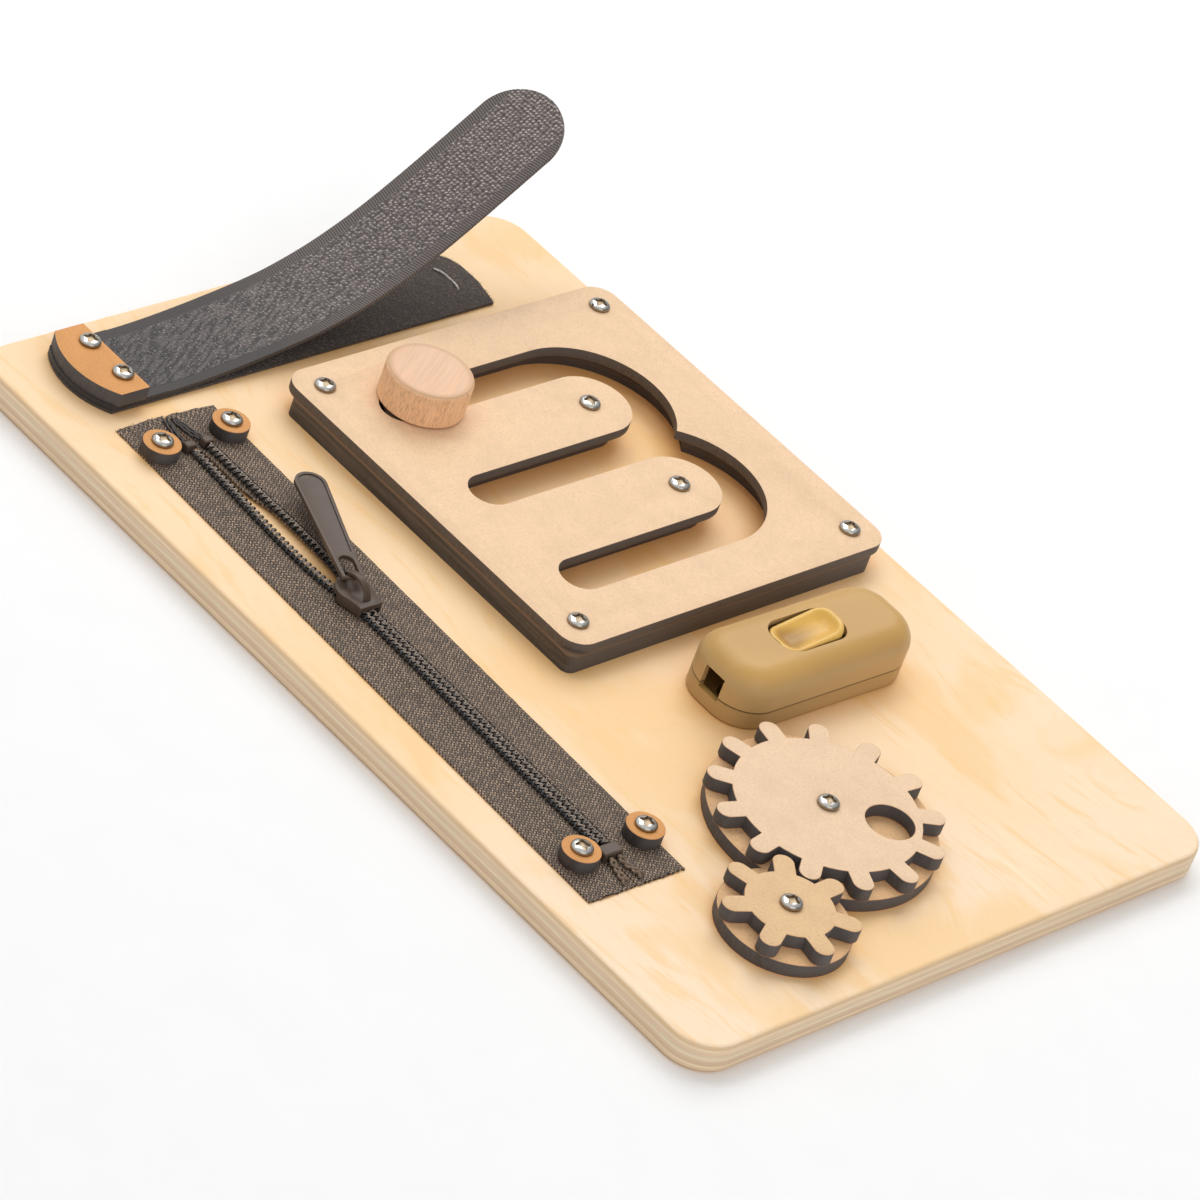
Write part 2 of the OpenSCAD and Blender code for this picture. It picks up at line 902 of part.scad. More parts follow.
slider_roof_low = coil_top + 0.25;
slider_roof = slider_roof_low + 1.5;
slider_nose = -slider_length / 2;
slider_tail = slider_length / 2;
flange_thick_side = 0.7;
tail_half = coil_half + 0.2 + flange_thick_side;
bridge_w = 2;
bridge_x = slider_nose + 5.6;
tab_thick = 1.3;
pivot_r = tab_thick / 2;
pivot_x = bridge_x - 1.9;
pivot_z = slider_roof + bridge_rise - 2.3;
arm_inner = 2.25;
arm_outer = 3.2;
window_length = 8.5;

// Plan of the slider, a shield that is broad where the rows of teeth part; inset by a wall
module slider_plan(inset = 0) {
    w = slider_width / 2 - inset;
    t = tail_half - inset;
    n = slider_nose;
    half = [[n, 1.6 - inset / 2], [n + 1.3, w * 0.63], [n + 3, w * 0.88], [n + 5, w],
        [n + 6.6, w * 0.97], [slider_tail - 4.2, t + 0.55], [slider_tail - 2.2, t + 0.1],
        [slider_tail - 1, t - 0.05], [slider_tail, t + 0.05]];
    polygon(concat(half, [for (i = [len(half) - 1 : -1 : 0]) [half[i][0], -half[i][1]]]));
}

// Side view of an arch that stands on z = 0
module arch(half, rise) {
    r = (half * half + rise * rise) / (2 * rise);
    intersection() {
        translate([0, rise - r])
            circle(r, $fn = 96);
        translate([-half, -0.1])
            square([2 * half, rise + 0.1]);
    }
}

module zip_slider() {
    flange_low = coil_low + 0.2;
    color(dark_metal)
        zip_place()
            translate([slider_at, 0, 0]) {
                // upper wing with side walls that guide the teeth behind the broad part
                linear_extrude_at(slider_roof_low, slider_roof - slider_roof_low)
                    slider_plan();
                linear_extrude_at(flange_low, slider_roof - 0.2 - flange_low)
                    difference() {
                        slider_plan();
                        slider_plan(flange_thick_side);
                        translate([slider_nose - over, -slider_width])
                            square([5 + over, 2 * slider_width]);
                        translate([0, -tail_half + flange_thick_side])
                            square([slider_length, 2 * (tail_half - flange_thick_side)]);
                    }
                // lower wing under the tapes
                linear_extrude_at(wing_low, wing_thick)
                    slider_plan(0.4);
                // wedge that joins the wings and parts the teeth
                linear_extrude_at(wing_low, slider_roof - 0.1 - wing_low)
                    translate([slider_nose + 0.1, -0.45])
                        square([1.2, 0.9]);
                // bridge that holds the pull tab
                translate([bridge_x, 0, slider_roof])
                    rotate([90, 0, 0])
                        linear_extrude(bridge_w, center = true)
                            difference() {
                                arch(5.5, bridge_rise);
                                translate([0, -0.05])
                                    arch(4.8, bridge_rise - 0.8);
                            }
            }
}

module pull_place() {
    zip_place()
        translate([slider_at + pivot_x, 0, pivot_z])
            rotate(180 - tab_turn)
                children();
}

// Pull tab along +X from its pivot: crossbar, two arms, and a plate with a raised rim
module pull_tab() {
    rim = 0.9;
    recess = 0.3;
    end_r = tab_width / 2;
    color(dark_metal)
        pull_place()
            difference() {
                union() {
                    rotate([90, 0, 0])
                        cylinder(h = 2 * arm_outer, r = pivot_r, center = true);
                    translate([0, 0, -pivot_r])
                        linear_extrude(tab_thick)
                            difference() {
                                tab_plan(end_r, arm_outer);
                                window_plan();
                            }
                }
                for (z = [pivot_r - recess, -pivot_r - over])
                    translate([0, 0, z])
                        linear_extrude(recess + over)
                            intersection() {
                                tab_plan(end_r - rim, arm_outer - rim, rim);
                                translate([window_length + 1.5, -tab_width])
                                    square([tab_length, 2 * tab_width]);
                            }
            }
}

// Plan of the window between the arms, round at its far end
module window_plan() {
    translate([-over, -arm_inner])
        square([window_length - arm_inner + over, 2 * arm_inner]);
    translate([window_length - arm_inner, 0])
        circle(arm_inner);
}

// Plan of the pull tab: narrow at the pivot, round at the far end
module tab_plan(end_r, start_half, inset = 0) {
    centre = tab_length - end_r - inset;
    translate([centre, 0])
        circle(end_r, $fn = 64);
    polygon([[0, -start_half], [centre, -end_r], [centre, end_r], [0, start_half]]);
}

// ---- strap --------------------------------------------------------------

strap_mid = board_thick + loop_thick + 0.3 + strap_thick / 2;
bar_low = strap_mid + strap_thick / 2;
bar_length = strap_width + 1.2;
fold_gap = 0.3;
// lengths of the strap between its folds; the last one ends at the middle of the round tip
fold_lengths = [36.3, 15.5, 15.2, 19.6, 39.4];

function fold_y(i) = i == 0 ? strap_lift : fold_y(i - 1) + fold_lengths[i - 1] * cos(i * strap_bend);
function fold_z(i) = i == 0 ? strap_mid : fold_z(i - 1) + fold_lengths[i - 1] * sin(i * strap_bend);

// Plan of the clamping bar: straight inside, bulging outside
module bar_plan(grow) {
    half = bar_length / 2;
    bulge_r = (half * half + bar_bulge * bar_bulge) / (2 * bar_bulge);
    translate([strap_x, bar_inner])
        intersection() {
            translate([-half - grow, -bar_depth - bar_bulge - grow])
                square([bar_length + 2 * grow, bar_depth + bar_bulge + grow]);
            translate([0, -bar_depth - bar_bulge + bulge_r])
                circle(bulge_r + grow, $fn = 96);
        }
}

module bar_holes() {
    translate([0, 0, bar_low + bar_thick])
        at_each(bar_screw_places)
            screw_hole(bar_low + bar_thick - board_thick + over);
}

module clamped_strip(z, height, to_y) {
    difference() {
        linear_extrude_at(z, height) {
            intersection() {
                bar_plan(0.4);
                translate([strap_x - strap_width / 2, -board_width])
                    square([strap_width, board_width]);
            }
            translate([strap_x - strap_width / 2, bar_inner - 1])
                square([strap_width, to_y - bar_inner + 1]);
        }
        bar_holes();
    }
}

module loop_strip() {
    color([0.22, 0.20, 0.19])
        clamped_strip(board_thick, loop_thick, loop_end);
}

module strap_root() {
    color([0.27, 0.26, 0.26])
        clamped_strip(strap_mid - strap_thick / 2, strap_thick, strap_lift - fold_gap);
}

module strap_bar() {
    color(orange_fibre)
        difference() {
            linear_extrude_at(bar_low, bar_thick)
                bar_plan(0);
            bar_holes();
        }
}

module strap_bar_screws() {
    color(steel)
        translate([0, 0, bar_low + bar_thick])
            at_each(bar_screw_places)
                pan_screw(bar_low + bar_thick - board_thick + screw_bite);
}

// One stretch of the strap between two folds, counted from 1
module strap_stretch(i) {
    last = i == len(fold_lengths);
    run = fold_lengths[i - 1] - (last ? fold_gap : 2 * fold_gap);
    color([0.27, 0.26, 0.26])
        translate([strap_x, fold_y(i - 1), fold_z(i - 1)])
            rotate([i * strap_bend, 0, 0]) {
                translate([-strap_width / 2, fold_gap, -strap_thick / 2])
                    cube([strap_width, run, strap_thick]);
                if (last)
                    intersection() {
                        translate([0, fold_lengths[i - 1], -strap_thick / 2])
                            cylinder(h = strap_thick, d = strap_width, $fn = 64);
                        translate([-strap_width, fold_lengths[i - 1] - over, -strap_width])
                            cube(2 * strap_width);
                    }
            }
}

module strap_1() {
    strap_stretch(1);
}

module strap_2() {
    strap_stretch(2);
}

module strap_3() {
    strap_stretch(3);
}

module strap_4() {
    strap_stretch(4);
}

module strap_5() {
    strap_stretch(5);
}

// ---- nodes --------------------------------------------------------------

base_board();
maze_plate();
maze_spacer_left();
maze_spacer_right();
maze_screws();
knob_guide();
knob_cap();
knob_screw();
gear_base();
big_gear();
small_gear();
gear_screws();
switch_lower_shell();
switch_upper_shell();
switch_screws();
switch_terminals();
rocker();
rocker_axle();
rocker_contact();
zip_tape_near();
zip_tape_far();
zip_coil_near();
zip_coil_far();
zip_top_stops();
zip_bottom_stop();
zip_washers();
zip_screws();
zip_slider();
pull_tab();
loop_strip();
strap_bar();
strap_bar_screws();
strap_root();
strap_1();
strap_2();
strap_3();
strap_4();
strap_5();
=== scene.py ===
"""Wooden busy board: finishes, soft parts, small fasteners, floor, lamps and camera."""

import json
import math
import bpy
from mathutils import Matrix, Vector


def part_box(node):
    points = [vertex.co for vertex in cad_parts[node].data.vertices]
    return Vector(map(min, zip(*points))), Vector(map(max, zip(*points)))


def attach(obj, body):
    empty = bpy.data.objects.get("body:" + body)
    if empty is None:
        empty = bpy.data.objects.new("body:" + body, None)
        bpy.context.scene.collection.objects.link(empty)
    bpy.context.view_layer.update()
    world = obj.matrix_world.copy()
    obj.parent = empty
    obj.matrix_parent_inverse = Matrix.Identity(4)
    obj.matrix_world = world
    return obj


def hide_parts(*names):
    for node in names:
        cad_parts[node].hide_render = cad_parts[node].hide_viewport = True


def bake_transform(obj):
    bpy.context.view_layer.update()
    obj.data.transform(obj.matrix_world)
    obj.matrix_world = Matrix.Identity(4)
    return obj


bl_info = {
    "name": "Wooden busy board",
    "version": (1, 0, 0),
    "blender": (4, 5, 0),
    "location": "View3D > Sidebar > Busy board",
    "description": "Dresses a packed busy board: wood, zipper, strap, switch, screws and a plain stage",
    "category": "Object",
}

import bmesh
import bpy
from bpy.props import FloatProperty, FloatVectorProperty, IntProperty, PointerProperty
from mathutils import Matrix, Vector, noise

MM = 0.001

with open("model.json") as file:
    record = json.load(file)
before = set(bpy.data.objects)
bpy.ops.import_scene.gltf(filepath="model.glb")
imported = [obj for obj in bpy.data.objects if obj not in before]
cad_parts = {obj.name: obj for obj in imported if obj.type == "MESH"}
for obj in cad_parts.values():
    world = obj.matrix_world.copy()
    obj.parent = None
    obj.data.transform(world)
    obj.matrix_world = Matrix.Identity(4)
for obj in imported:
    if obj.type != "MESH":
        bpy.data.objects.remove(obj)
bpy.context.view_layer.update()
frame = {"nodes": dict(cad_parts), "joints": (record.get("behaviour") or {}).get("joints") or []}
JOINTS = {joint["name"]: joint for joint in frame["joints"]}
BOARD_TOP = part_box("base_board")[1][2]
BOARD_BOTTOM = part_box("base_board")[0][2]
PER_METRE = (1000.0, 1000.0, 1000.0)


def display(red, green, blue):
    """The linear colour that shows as these 0 to 255 screen values."""
    out = []
    for value in (red, green, blue):
        share = value / 255
        if share <= 0.04045:
            out.append(share / 12.92)
        else:
            out.append(((share + 0.055) / 1.055) ** 2.4)
    return tuple(out)


def colour_setting(name, description, red, green, blue):
    """A colour of the sidebar, given as it shows on screen."""
    return FloatVectorProperty(
        name=name,
        description=description,
        subtype="COLOR",
        size=3,
        min=0,
        max=1,
        default=display(red, green, blue),
    )


def length_setting(name, description, millimetres):
    """A length of the sidebar."""
    return FloatProperty(
        name=name,
        description=description,
        unit="LENGTH",
        min=0,
        precision=5,
        default=millimetres * MM,
    )


# ---- settings -----------------------------------------------------------


class WoodSettings(bpy.types.PropertyGroup):
    birch: colour_setting("Birch", "Face veneer of the panel", 250, 223, 190)
    birch_streak: colour_setting("Birch streak", "Grain streaks in the veneer", 245, 202, 140)
    # Painted shade: the warm colour that the veneer takes beside the pieces on it.
    painted_warm_shade: colour_setting("Glow", "Warm tint of the veneer beside the pieces on it", 240, 178, 96)
    ply_light: colour_setting("Light ply", "Thin pale lines between the plies", 246, 226, 194)
    ply_dark: colour_setting("Dark ply", "Plies cut across the grain", 225, 193, 158)
    ply_rim: colour_setting("Outer ply", "Outer plies seen on the panel's side", 229, 196, 154)
    fibreboard: colour_setting("Fibreboard", "Faces of the maze plate", 240, 205, 167)
    gear_board: colour_setting("Gear board", "Faces of the large gear", 237, 205, 170)
    small_board: colour_setting("Small gear board", "Faces of the small gear", 228, 190, 144)
    base_layer: colour_setting("Base board", "Faces of the discs under the gears", 232, 186, 136)
    orange_board: colour_setting("Orange board", "Faces of the washers and the bar", 219, 155, 90)
    char: colour_setting("Char", "Laser-cut edges of the gears and the bar", 84, 80, 80)
    brown_char: colour_setting("Brown char", "Laser-cut edges of the maze", 102, 90, 80)
    washer_char: colour_setting("Washer char", "Laser-cut edges of the washers", 66, 58, 55)
    rim: colour_setting("Rim", "Lightly burnt line along the cut edges", 204, 146, 104)
    beech: colour_setting("Beech", "Side of the knob", 246, 196, 152)
    beech_face: colour_setting("Beech face", "Dished face of the knob", 228, 188, 155)
    ease: length_setting("Eased edge", "Rounding of the sawn and laser-cut edges", 0.22)


class StrapSettings(bpy.types.PropertyGroup):
    yarn: colour_setting("Yarn", "Yarn of the strap's free end", 118, 107, 103)
    root_yarn: colour_setting("Root yarn", "Yarn beside the clamping bar", 78, 73, 73)
    # Painted glint: the light colour of the hooks' thread loops where they catch the light.
    knot_glint: colour_setting("Knot", "Light loops of the hooks' threads", 226, 211, 203)
    # The ground yarn's colour, also used for painted shade under the loops, in the valleys of the ridges
    # and beside the bar.
    ground_and_shade: colour_setting("Ground", "Ground between the raised yarns", 50, 45, 45)
    pile: colour_setting("Pile", "Backing of the lower strip", 76, 66, 60)
    fibre: colour_setting("Fibre", "Brushed loops of the lower strip", 160, 144, 132)
    stray: colour_setting("Stray thread", "Pale thread left on the loops", 206, 199, 190)
    selvedge: length_setting("Selvedge", "Width of the ribbed edge", 3.3)
    rib_pitch: length_setting("Rib pitch", "Distance between the edge's ribs", 0.8)
    knot_pitch: length_setting("Knot pitch", "Distance between the light loops", 1.2)
    pile_density: FloatProperty(
        name="Pile density",
        description="Loops per square metre",
        default=2.6e6,
    )


class ZipperSettings(bpy.types.PropertyGroup):
    twill: colour_setting("Twill", "Lit yarn of the tapes", 172, 145, 120)
    twill_dark: colour_setting("Twill shade", "Gaps between the yarns", 54, 44, 37)
    filament: colour_setting("Filament", "Nylon of the teeth", 42, 40, 39)
    thread: colour_setting("Thread", "Stitches that hold the teeth", 164, 149, 136)
    tail: colour_setting("Tail", "Loose filament beyond the top stops", 62, 54, 49)
    gunmetal: colour_setting("Gunmetal", "Slider, pull tab and stops", 86, 71, 60)
    yarn_pitch: length_setting("Yarn pitch", "Length of one dash of the twill", 1.15)
    column_width: length_setting("Column", "Width of one column of the herringbone", 0.84)
    tooth_pitch: length_setting("Tooth pitch", "Distance between teeth on one tape", 1.9)
    filament_width: length_setting("Filament width", "Thickness of the wound filament", 0.86)
    thread_width: length_setting("Thread width", "Thickness of the stitching thread", 0.38)


class SwitchSettings(bpy.types.PropertyGroup):
    gold: colour_setting("Gold", "Housing", 199, 157, 90)
    amber: colour_setting("Amber", "Dish of the rocker", 174, 131, 64)
    # Painted highlight colour of the rocker's rounded lip.
    lip: colour_setting("Lip", "Rounded lip of the rocker", 250, 211, 130)


class FastenerSettings(bpy.types.PropertyGroup):
    zinc: colour_setting("Zinc", "Screw heads", 188, 186, 181)
    cross_turn: FloatProperty(
        name="Turn",
        description="Largest turn of a screw's cross away from the next one's",
        subtype="ANGLE",
        default=math.radians(180),
    )
    seed: IntProperty(name="Seed", description="Seed of the turns", default=4)


class StageSettings(bpy.types.PropertyGroup):
    floor: colour_setting("Floor", "Floor and backdrop", 248, 248, 248)
    key_power: FloatProperty(name="Key", description="Power of the large lamp, watts", default=23)
    fill_power: FloatProperty(name="Fill", description="Power of the side lamp, watts", default=6.2)
    glint_power: FloatProperty(name="Glint", description="Power of the small lamp, watts", default=2.5)
    sky: FloatProperty(name="Sky", description="Strength of the even light", default=0.545)


SETTINGS = {
    "busy_wood": WoodSettings,
    "busy_strap": StrapSettings,
    "busy_zipper": ZipperSettings,
    "busy_switch": SwitchSettings,
    "busy_fasteners": FastenerSettings,
    "busy_stage": StageSettings,
}


# ---- node wiring --------------------------------------------------------


class Wiring:
    """Short calls that add and join the nodes of one tree."""

    def __init__(self, tree):
        self.tree = tree

    def node(self, kind, inputs=None, **settings):
        made = self.tree.nodes.new(kind)
        for name, value in settings.items():
            setattr(made, name, value)
        for key, value in (inputs or {}).items():
            socket = made.inputs[key]
            if isinstance(value, bpy.types.NodeSocket):
                self.tree.links.new(value, socket)
            else:
                socket.default_value = value
        return made

    def join(self, output, socket):
        self.tree.links.new(output, socket)

    def math(self, operation, *values):
        return self.node("ShaderNodeMath", dict(enumerate(values)), operation=operation).outputs[0]

    def between(self, value, low, high, to_low=0.0, to_high=1.0):
        """A smooth rise or fall from one result to the other while the value goes from low to high."""
        inputs = {0: value, 1: low, 2: high, 3: to_low, 4: to_high}
        made = self.node("ShaderNodeMapRange", inputs, interpolation_type="SMOOTHSTEP")
        return made.outputs[0]

    def mix(self, factor, first, second):
        inputs = {0: factor, 6: as_colour(first), 7: as_colour(second)}
        return self.node("ShaderNodeMix", inputs, data_type="RGBA").outputs[2]

    def stretch(self, vector, x, y, z):
        return self.node("ShaderNodeMapping", {0: vector, 3: (x, y, z)}).outputs[0]

    def shifted(self, vector, place, turn=(0, 0, 0)):
        return self.node("ShaderNodeMapping", {0: vector, 1: place, 2: turn}).outputs[0]

    def noise(self, vector, detail=3.0, roughness=0.5, distortion=0.0):
        inputs = {"Vector": vector, "Scale": 1.0, "Detail": detail, "Roughness": roughness}
        inputs["Distortion"] = distortion
        return self.node("ShaderNodeTexNoise", inputs).outputs[0]

    def grains(self, vector, per_unit, **settings):
        """Noise that is equally fine in all directions."""
        return self.noise(self.stretch(vector, per_unit, per_unit, per_unit), **settings)

    def wave(self, phase):
        """0 to 1 and back once per unit of phase."""
        turn = self.math("MULTIPLY", phase, 2 * math.pi)
        return self.math("MULTIPLY_ADD", self.math("SINE", turn), 0.5, 0.5)

    def openness(self, distance, samples=8, **settings):
        """1 where nothing stands within a distance in metres, less beside other surfaces."""
        inputs = {"Distance": distance}
        made = self.node("ShaderNodeAmbientOcclusion", inputs, samples=samples, **settings)
        return made.outputs["AO"]

    def split(self, vector):
        return self.node("ShaderNodeSeparateXYZ", {0: vector}).outputs

    def bump(self, height, distance, strength=1.0):
        inputs = {"Height": height, "Distance": distance, "Strength": strength}
        return self.node("ShaderNodeBump", inputs).outputs[0]

    def ramp(self, factor, stops, interpolation="LINEAR"):
        made = self.node("ShaderNodeValToRGB", {0: factor})
        ramp = made.color_ramp
        ramp.interpolation = interpolation
        while len(ramp.elements) < len(stops):
            ramp.elements.new(1.0)
        for element, (place, colour) in zip(ramp.elements, stops):
            element.position = place
            element.color = as_colour(colour)
        return made.outputs[0]


def as_colour(value):
    """A socket as it is, or a colour with its alpha."""
    if isinstance(value, bpy.types.NodeSocket):
        return value
    return (*tuple(value)[:3], 1.0)


def scaled(colour, share):
    """A darker or lighter tone of a colour."""
    return tuple(min(1.0, channel * share) for channel in tuple(colour)[:3])


class Finish:
    """A material with one Principled shader, and the places in millimetres that its pattern reads."""

    def __init__(self, name):
        self.material = bpy.data.materials.new(name)
        self.material.use_nodes = True
        self.wiring = Wiring(self.material.node_tree)
        self.shader = self.material.node_tree.nodes["Principled BSDF"]
        places = self.wiring.node("ShaderNodeTexCoord").outputs
        self.place = self.wiring.stretch(places["Object"], *PER_METRE)
        self.cloth = self.wiring.stretch(places["UV"], *PER_METRE)
        self.facing = self.wiring.split(places["Normal"])

    def set(self, **values):
        """Joins or sets the shader's sockets, named with underscores for spaces."""
        for name, value in values.items():
            socket = self.shader.inputs[name.replace("_", " ")]
            if isinstance(value, bpy.types.NodeSocket):
                self.wiring.join(value, socket)
            elif socket.type == "RGBA":
                socket.default_value = as_colour(value)
            else:
                socket.default_value = value
        return self.material

    def flatness(self):
        """1 on faces that look straight up or down, 0 on sides."""
        w = self.wiring
        return w.between(w.math("ABSOLUTE", self.facing[2]), 0.35, 0.75)


# ---- finishes -----------------------------------------------------------


def birch_face(f, look):
    """Face veneer: wandering grain with streaks and pores, and painted warm shade beside the pieces on
    it.
    """
    w = f.wiring
    x, y, z = w.split(f.place)
    drift = w.noise(w.stretch(f.place, 0.005, 0.014, 0.02), detail=2)
    swirl = w.math("MULTIPLY", w.math("SUBTRACT", drift, 0.5), 90.0)
    across = w.math("ADD", y, swirl)
    along = w.math("MULTIPLY", x, 0.03)
    grain = w.node("ShaderNodeCombineXYZ", {0: along, 1: across, 2: z}).outputs[0]
    clouds = w.noise(w.stretch(f.place, 0.006, 0.018, 0.02), detail=3, roughness=0.5)
    bands = w.noise(w.stretch(grain, 0.7, 0.045, 0.05), detail=3, roughness=0.5)
    lines = w.noise(w.stretch(grain, 1.2, 0.24, 0.2), detail=3, roughness=0.6)
    fibres = w.noise(w.stretch(grain, 5.0, 1.6, 1.6), detail=3, roughness=0.6)
    pores = w.noise(w.stretch(f.place, 0.35, 3.4, 3.4), detail=2)
    warm_end = w.between(x, -20.0, 110.0, 0.36, 0.0)
    face = w.mix(w.between(clouds, 0.4, 0.66, 0.0, 0.32), look.birch, look.birch_streak)
    face = w.mix(w.between(bands, 0.5, 0.62, 0.0, 0.6), face, look.birch_streak)
    face = w.mix(w.between(bands, 0.28, 0.42, 0.4, 0.0), face, scaled(look.birch, 1.08))
    face = w.mix(w.between(lines, 0.54, 0.68, 0.0, 0.55), face, look.birch_streak)
    face = w.mix(warm_end, face, look.birch_streak)
    face = w.mix(w.between(fibres, 0.5, 0.8, 0.0, 0.25), face, scaled(look.birch_streak, 0.92))
    face = w.mix(w.between(pores, 0.66, 0.82, 0.0, 0.25), face, scaled(look.birch_streak, 0.7))
    # Painted warm shade beside the pieces on the panel, in a narrow band and a wide one.
    face = w.mix(w.between(w.openness(0.007), 0.1, 0.9, 0.35, 0.0), face, look.painted_warm_shade)
    face = w.mix(w.between(w.openness(0.03), 0.25, 1.0, 0.55, 0.0), face, scaled(look.painted_warm_shade, 1.12))
    return face, fibres


def birch_plies(f, look):
    """Layers on the panel's sides, which wander in height and change in tone along the side."""
    w = f.wiring
    height = w.math("DIVIDE", w.split(f.place)[2], (BOARD_TOP - BOARD_BOTTOM) / MM)
    wander = w.noise(w.stretch(f.place, 0.03, 0.03, 0.0), detail=2)
    height = w.math("ADD", height, w.math("MULTIPLY", w.math("SUBTRACT", wander, 0.5), 0.05))
    light, dark, rim = look.ply_light, look.ply_dark, look.ply_rim
    stops = [(0.0, rim), (0.22, light), (0.275, dark), (0.33, scaled(dark, 0.92)), (0.5, light)]
    stops += [(0.55, scaled(light, 0.86)), (0.66, scaled(dark, 1.05)), (0.79, light)]
    stops += [(0.845, rim), (1.0, rim)]
    plies = w.mix(0.55, w.ramp(height, stops, "CONSTANT"), w.ramp(height, stops))
    along = w.noise(w.stretch(f.place, 0.05, 0.05, 4.0), detail=4, roughness=0.65)
    plies = w.mix(w.between(along, 0.44, 0.6, 0.0, 0.45), plies, scaled(dark, 0.82))
    plies = w.mix(w.between(along, 0.32, 0.44, 0.4, 0.0), plies, light)
    return plies, along


def birch_plywood(look):
    """Birch veneer where the panel faces up or down, and its plies on the sides."""
    f = Finish("birch_plywood")
    w = f.wiring
    face, fibres = birch_face(f, look)
    plies, along = birch_plies(f, look)
    up = w.between(w.math("ABSOLUTE", f.facing[2]), 0.55, 0.9)
    rough = w.between(fibres, 0.2, 0.8, 0.5, 0.62)
    relief = w.math("ADD", w.math("MULTIPLY", fibres, 0.6), w.math("MULTIPLY", along, 0.4))
    return f.set(
        Base_Color=w.mix(up, plies, face),
        Roughness=rough,
        Normal=w.bump(relief, 0.00005),
        IOR=1.45,
    )


def fibreboard(name, face_colour, side_colour, look, freckles):
    """Fine pressed board with browned sides and a burnt line along its edges."""
    f = Finish(name)
    w = f.wiring
    fine = w.grains(f.place, 1.7, detail=5, roughness=0.75)
    mottle = w.grains(f.place, 0.14, detail=4, roughness=0.65)
    hairs = w.noise(w.stretch(f.place, 2.4, 1.1, 2.0), detail=3, distortion=0.8)
    face = w.mix(w.between(fine, 0.48, 0.66, 0.0, 0.45), face_colour, scaled(face_colour, 0.7))
    face = w.mix(w.between(fine, 0.34, 0.46, 0.35, 0.0), face, scaled(face_colour, 1.14))
    face = w.mix(w.between(mottle, 0.38, 0.7, 0.0, 0.38), face, scaled(face_colour, 0.83))
    face = w.mix(w.between(hairs, 0.6, 0.72, 0.0, freckles), face, scaled(face_colour, 0.5))
    scorch = w.noise(w.stretch(f.place, 1.4, 1.4, 0.3), detail=3, roughness=0.7)
    side = w.mix(w.between(scorch, 0.3, 0.75), scaled(side_colour, 0.78), scaled(side_colour, 1.12))
    # Painted shading: sides that face +X take a greyer char tone, set by the way they face.
    side = w.mix(w.between(f.facing[0], 0.3, 0.9, 0.0, 0.7), side, scaled(look.char, 1.3))
    colour = w.mix(f.flatness(), side, face)
    lean = w.math("ABSOLUTE", f.facing[2])
    burnt = w.math("MULTIPLY", w.between(lean, 0.25, 0.55), w.between(lean, 0.85, 0.99, 1.0, 0.0))
    colour = w.mix(w.math("MULTIPLY", burnt, 0.55), colour, look.rim)
    rough = w.between(fine, 0.2, 0.8, 0.55, 0.7)
    relief = w.math("ADD", fine, w.math("MULTIPLY", scorch, 0.5))
    return f.set(Base_Color=colour, Roughness=rough, Normal=w.bump(relief, 0.00004), IOR=1.4)


def charred_board(look):
    """The spacer under the plate, seen only by its burnt sides: darker towards its foot, with a painted
    highlight line just under its top.
    """
    f = Finish("charred_board")
    w = f.wiring
    layers = w.noise(w.stretch(f.place, 0.05, 0.05, 1.1), detail=3, roughness=0.6)
    soot = w.noise(w.stretch(f.place, 1.0, 1.0, 0.4), detail=3)
    warm = scaled(look.brown_char, 0.92)
    colour = w.mix(w.between(layers, 0.3, 0.66), scaled(look.brown_char, 0.46), warm)
    colour = w.mix(w.between(soot, 0.5, 0.8, 0.0, 0.5), colour, scaled(look.brown_char, 0.34))
    height = w.math("MULTIPLY_ADD", soot, 0.3, w.split(f.place)[2])
    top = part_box("maze_spacer_left")[1][2] / MM
    foot = w.between(height, top - 5.5, top - 1.5, 0.45, 0.0)
    colour = w.mix(foot, colour, scaled(look.char, 0.5))
    # Painted highlight: a lighter line just under the spacer's top.
    highlight_line = w.between(height, top - 0.62, top - 0.32, 0.0, 0.75)
    colour = w.mix(highlight_line, colour, display(134, 106, 84))
    # Painted shading: sides that face +X take a greyer char tone, set by the way they face.
    colour = w.mix(w.between(f.facing[0], 0.3, 0.9, 0.0, 0.6), colour, scaled(look.char, 1.15))
    return f.set(Base_Color=colour, Roughness=0.55, Normal=w.bump(soot, 0.00006), IOR=1.4)


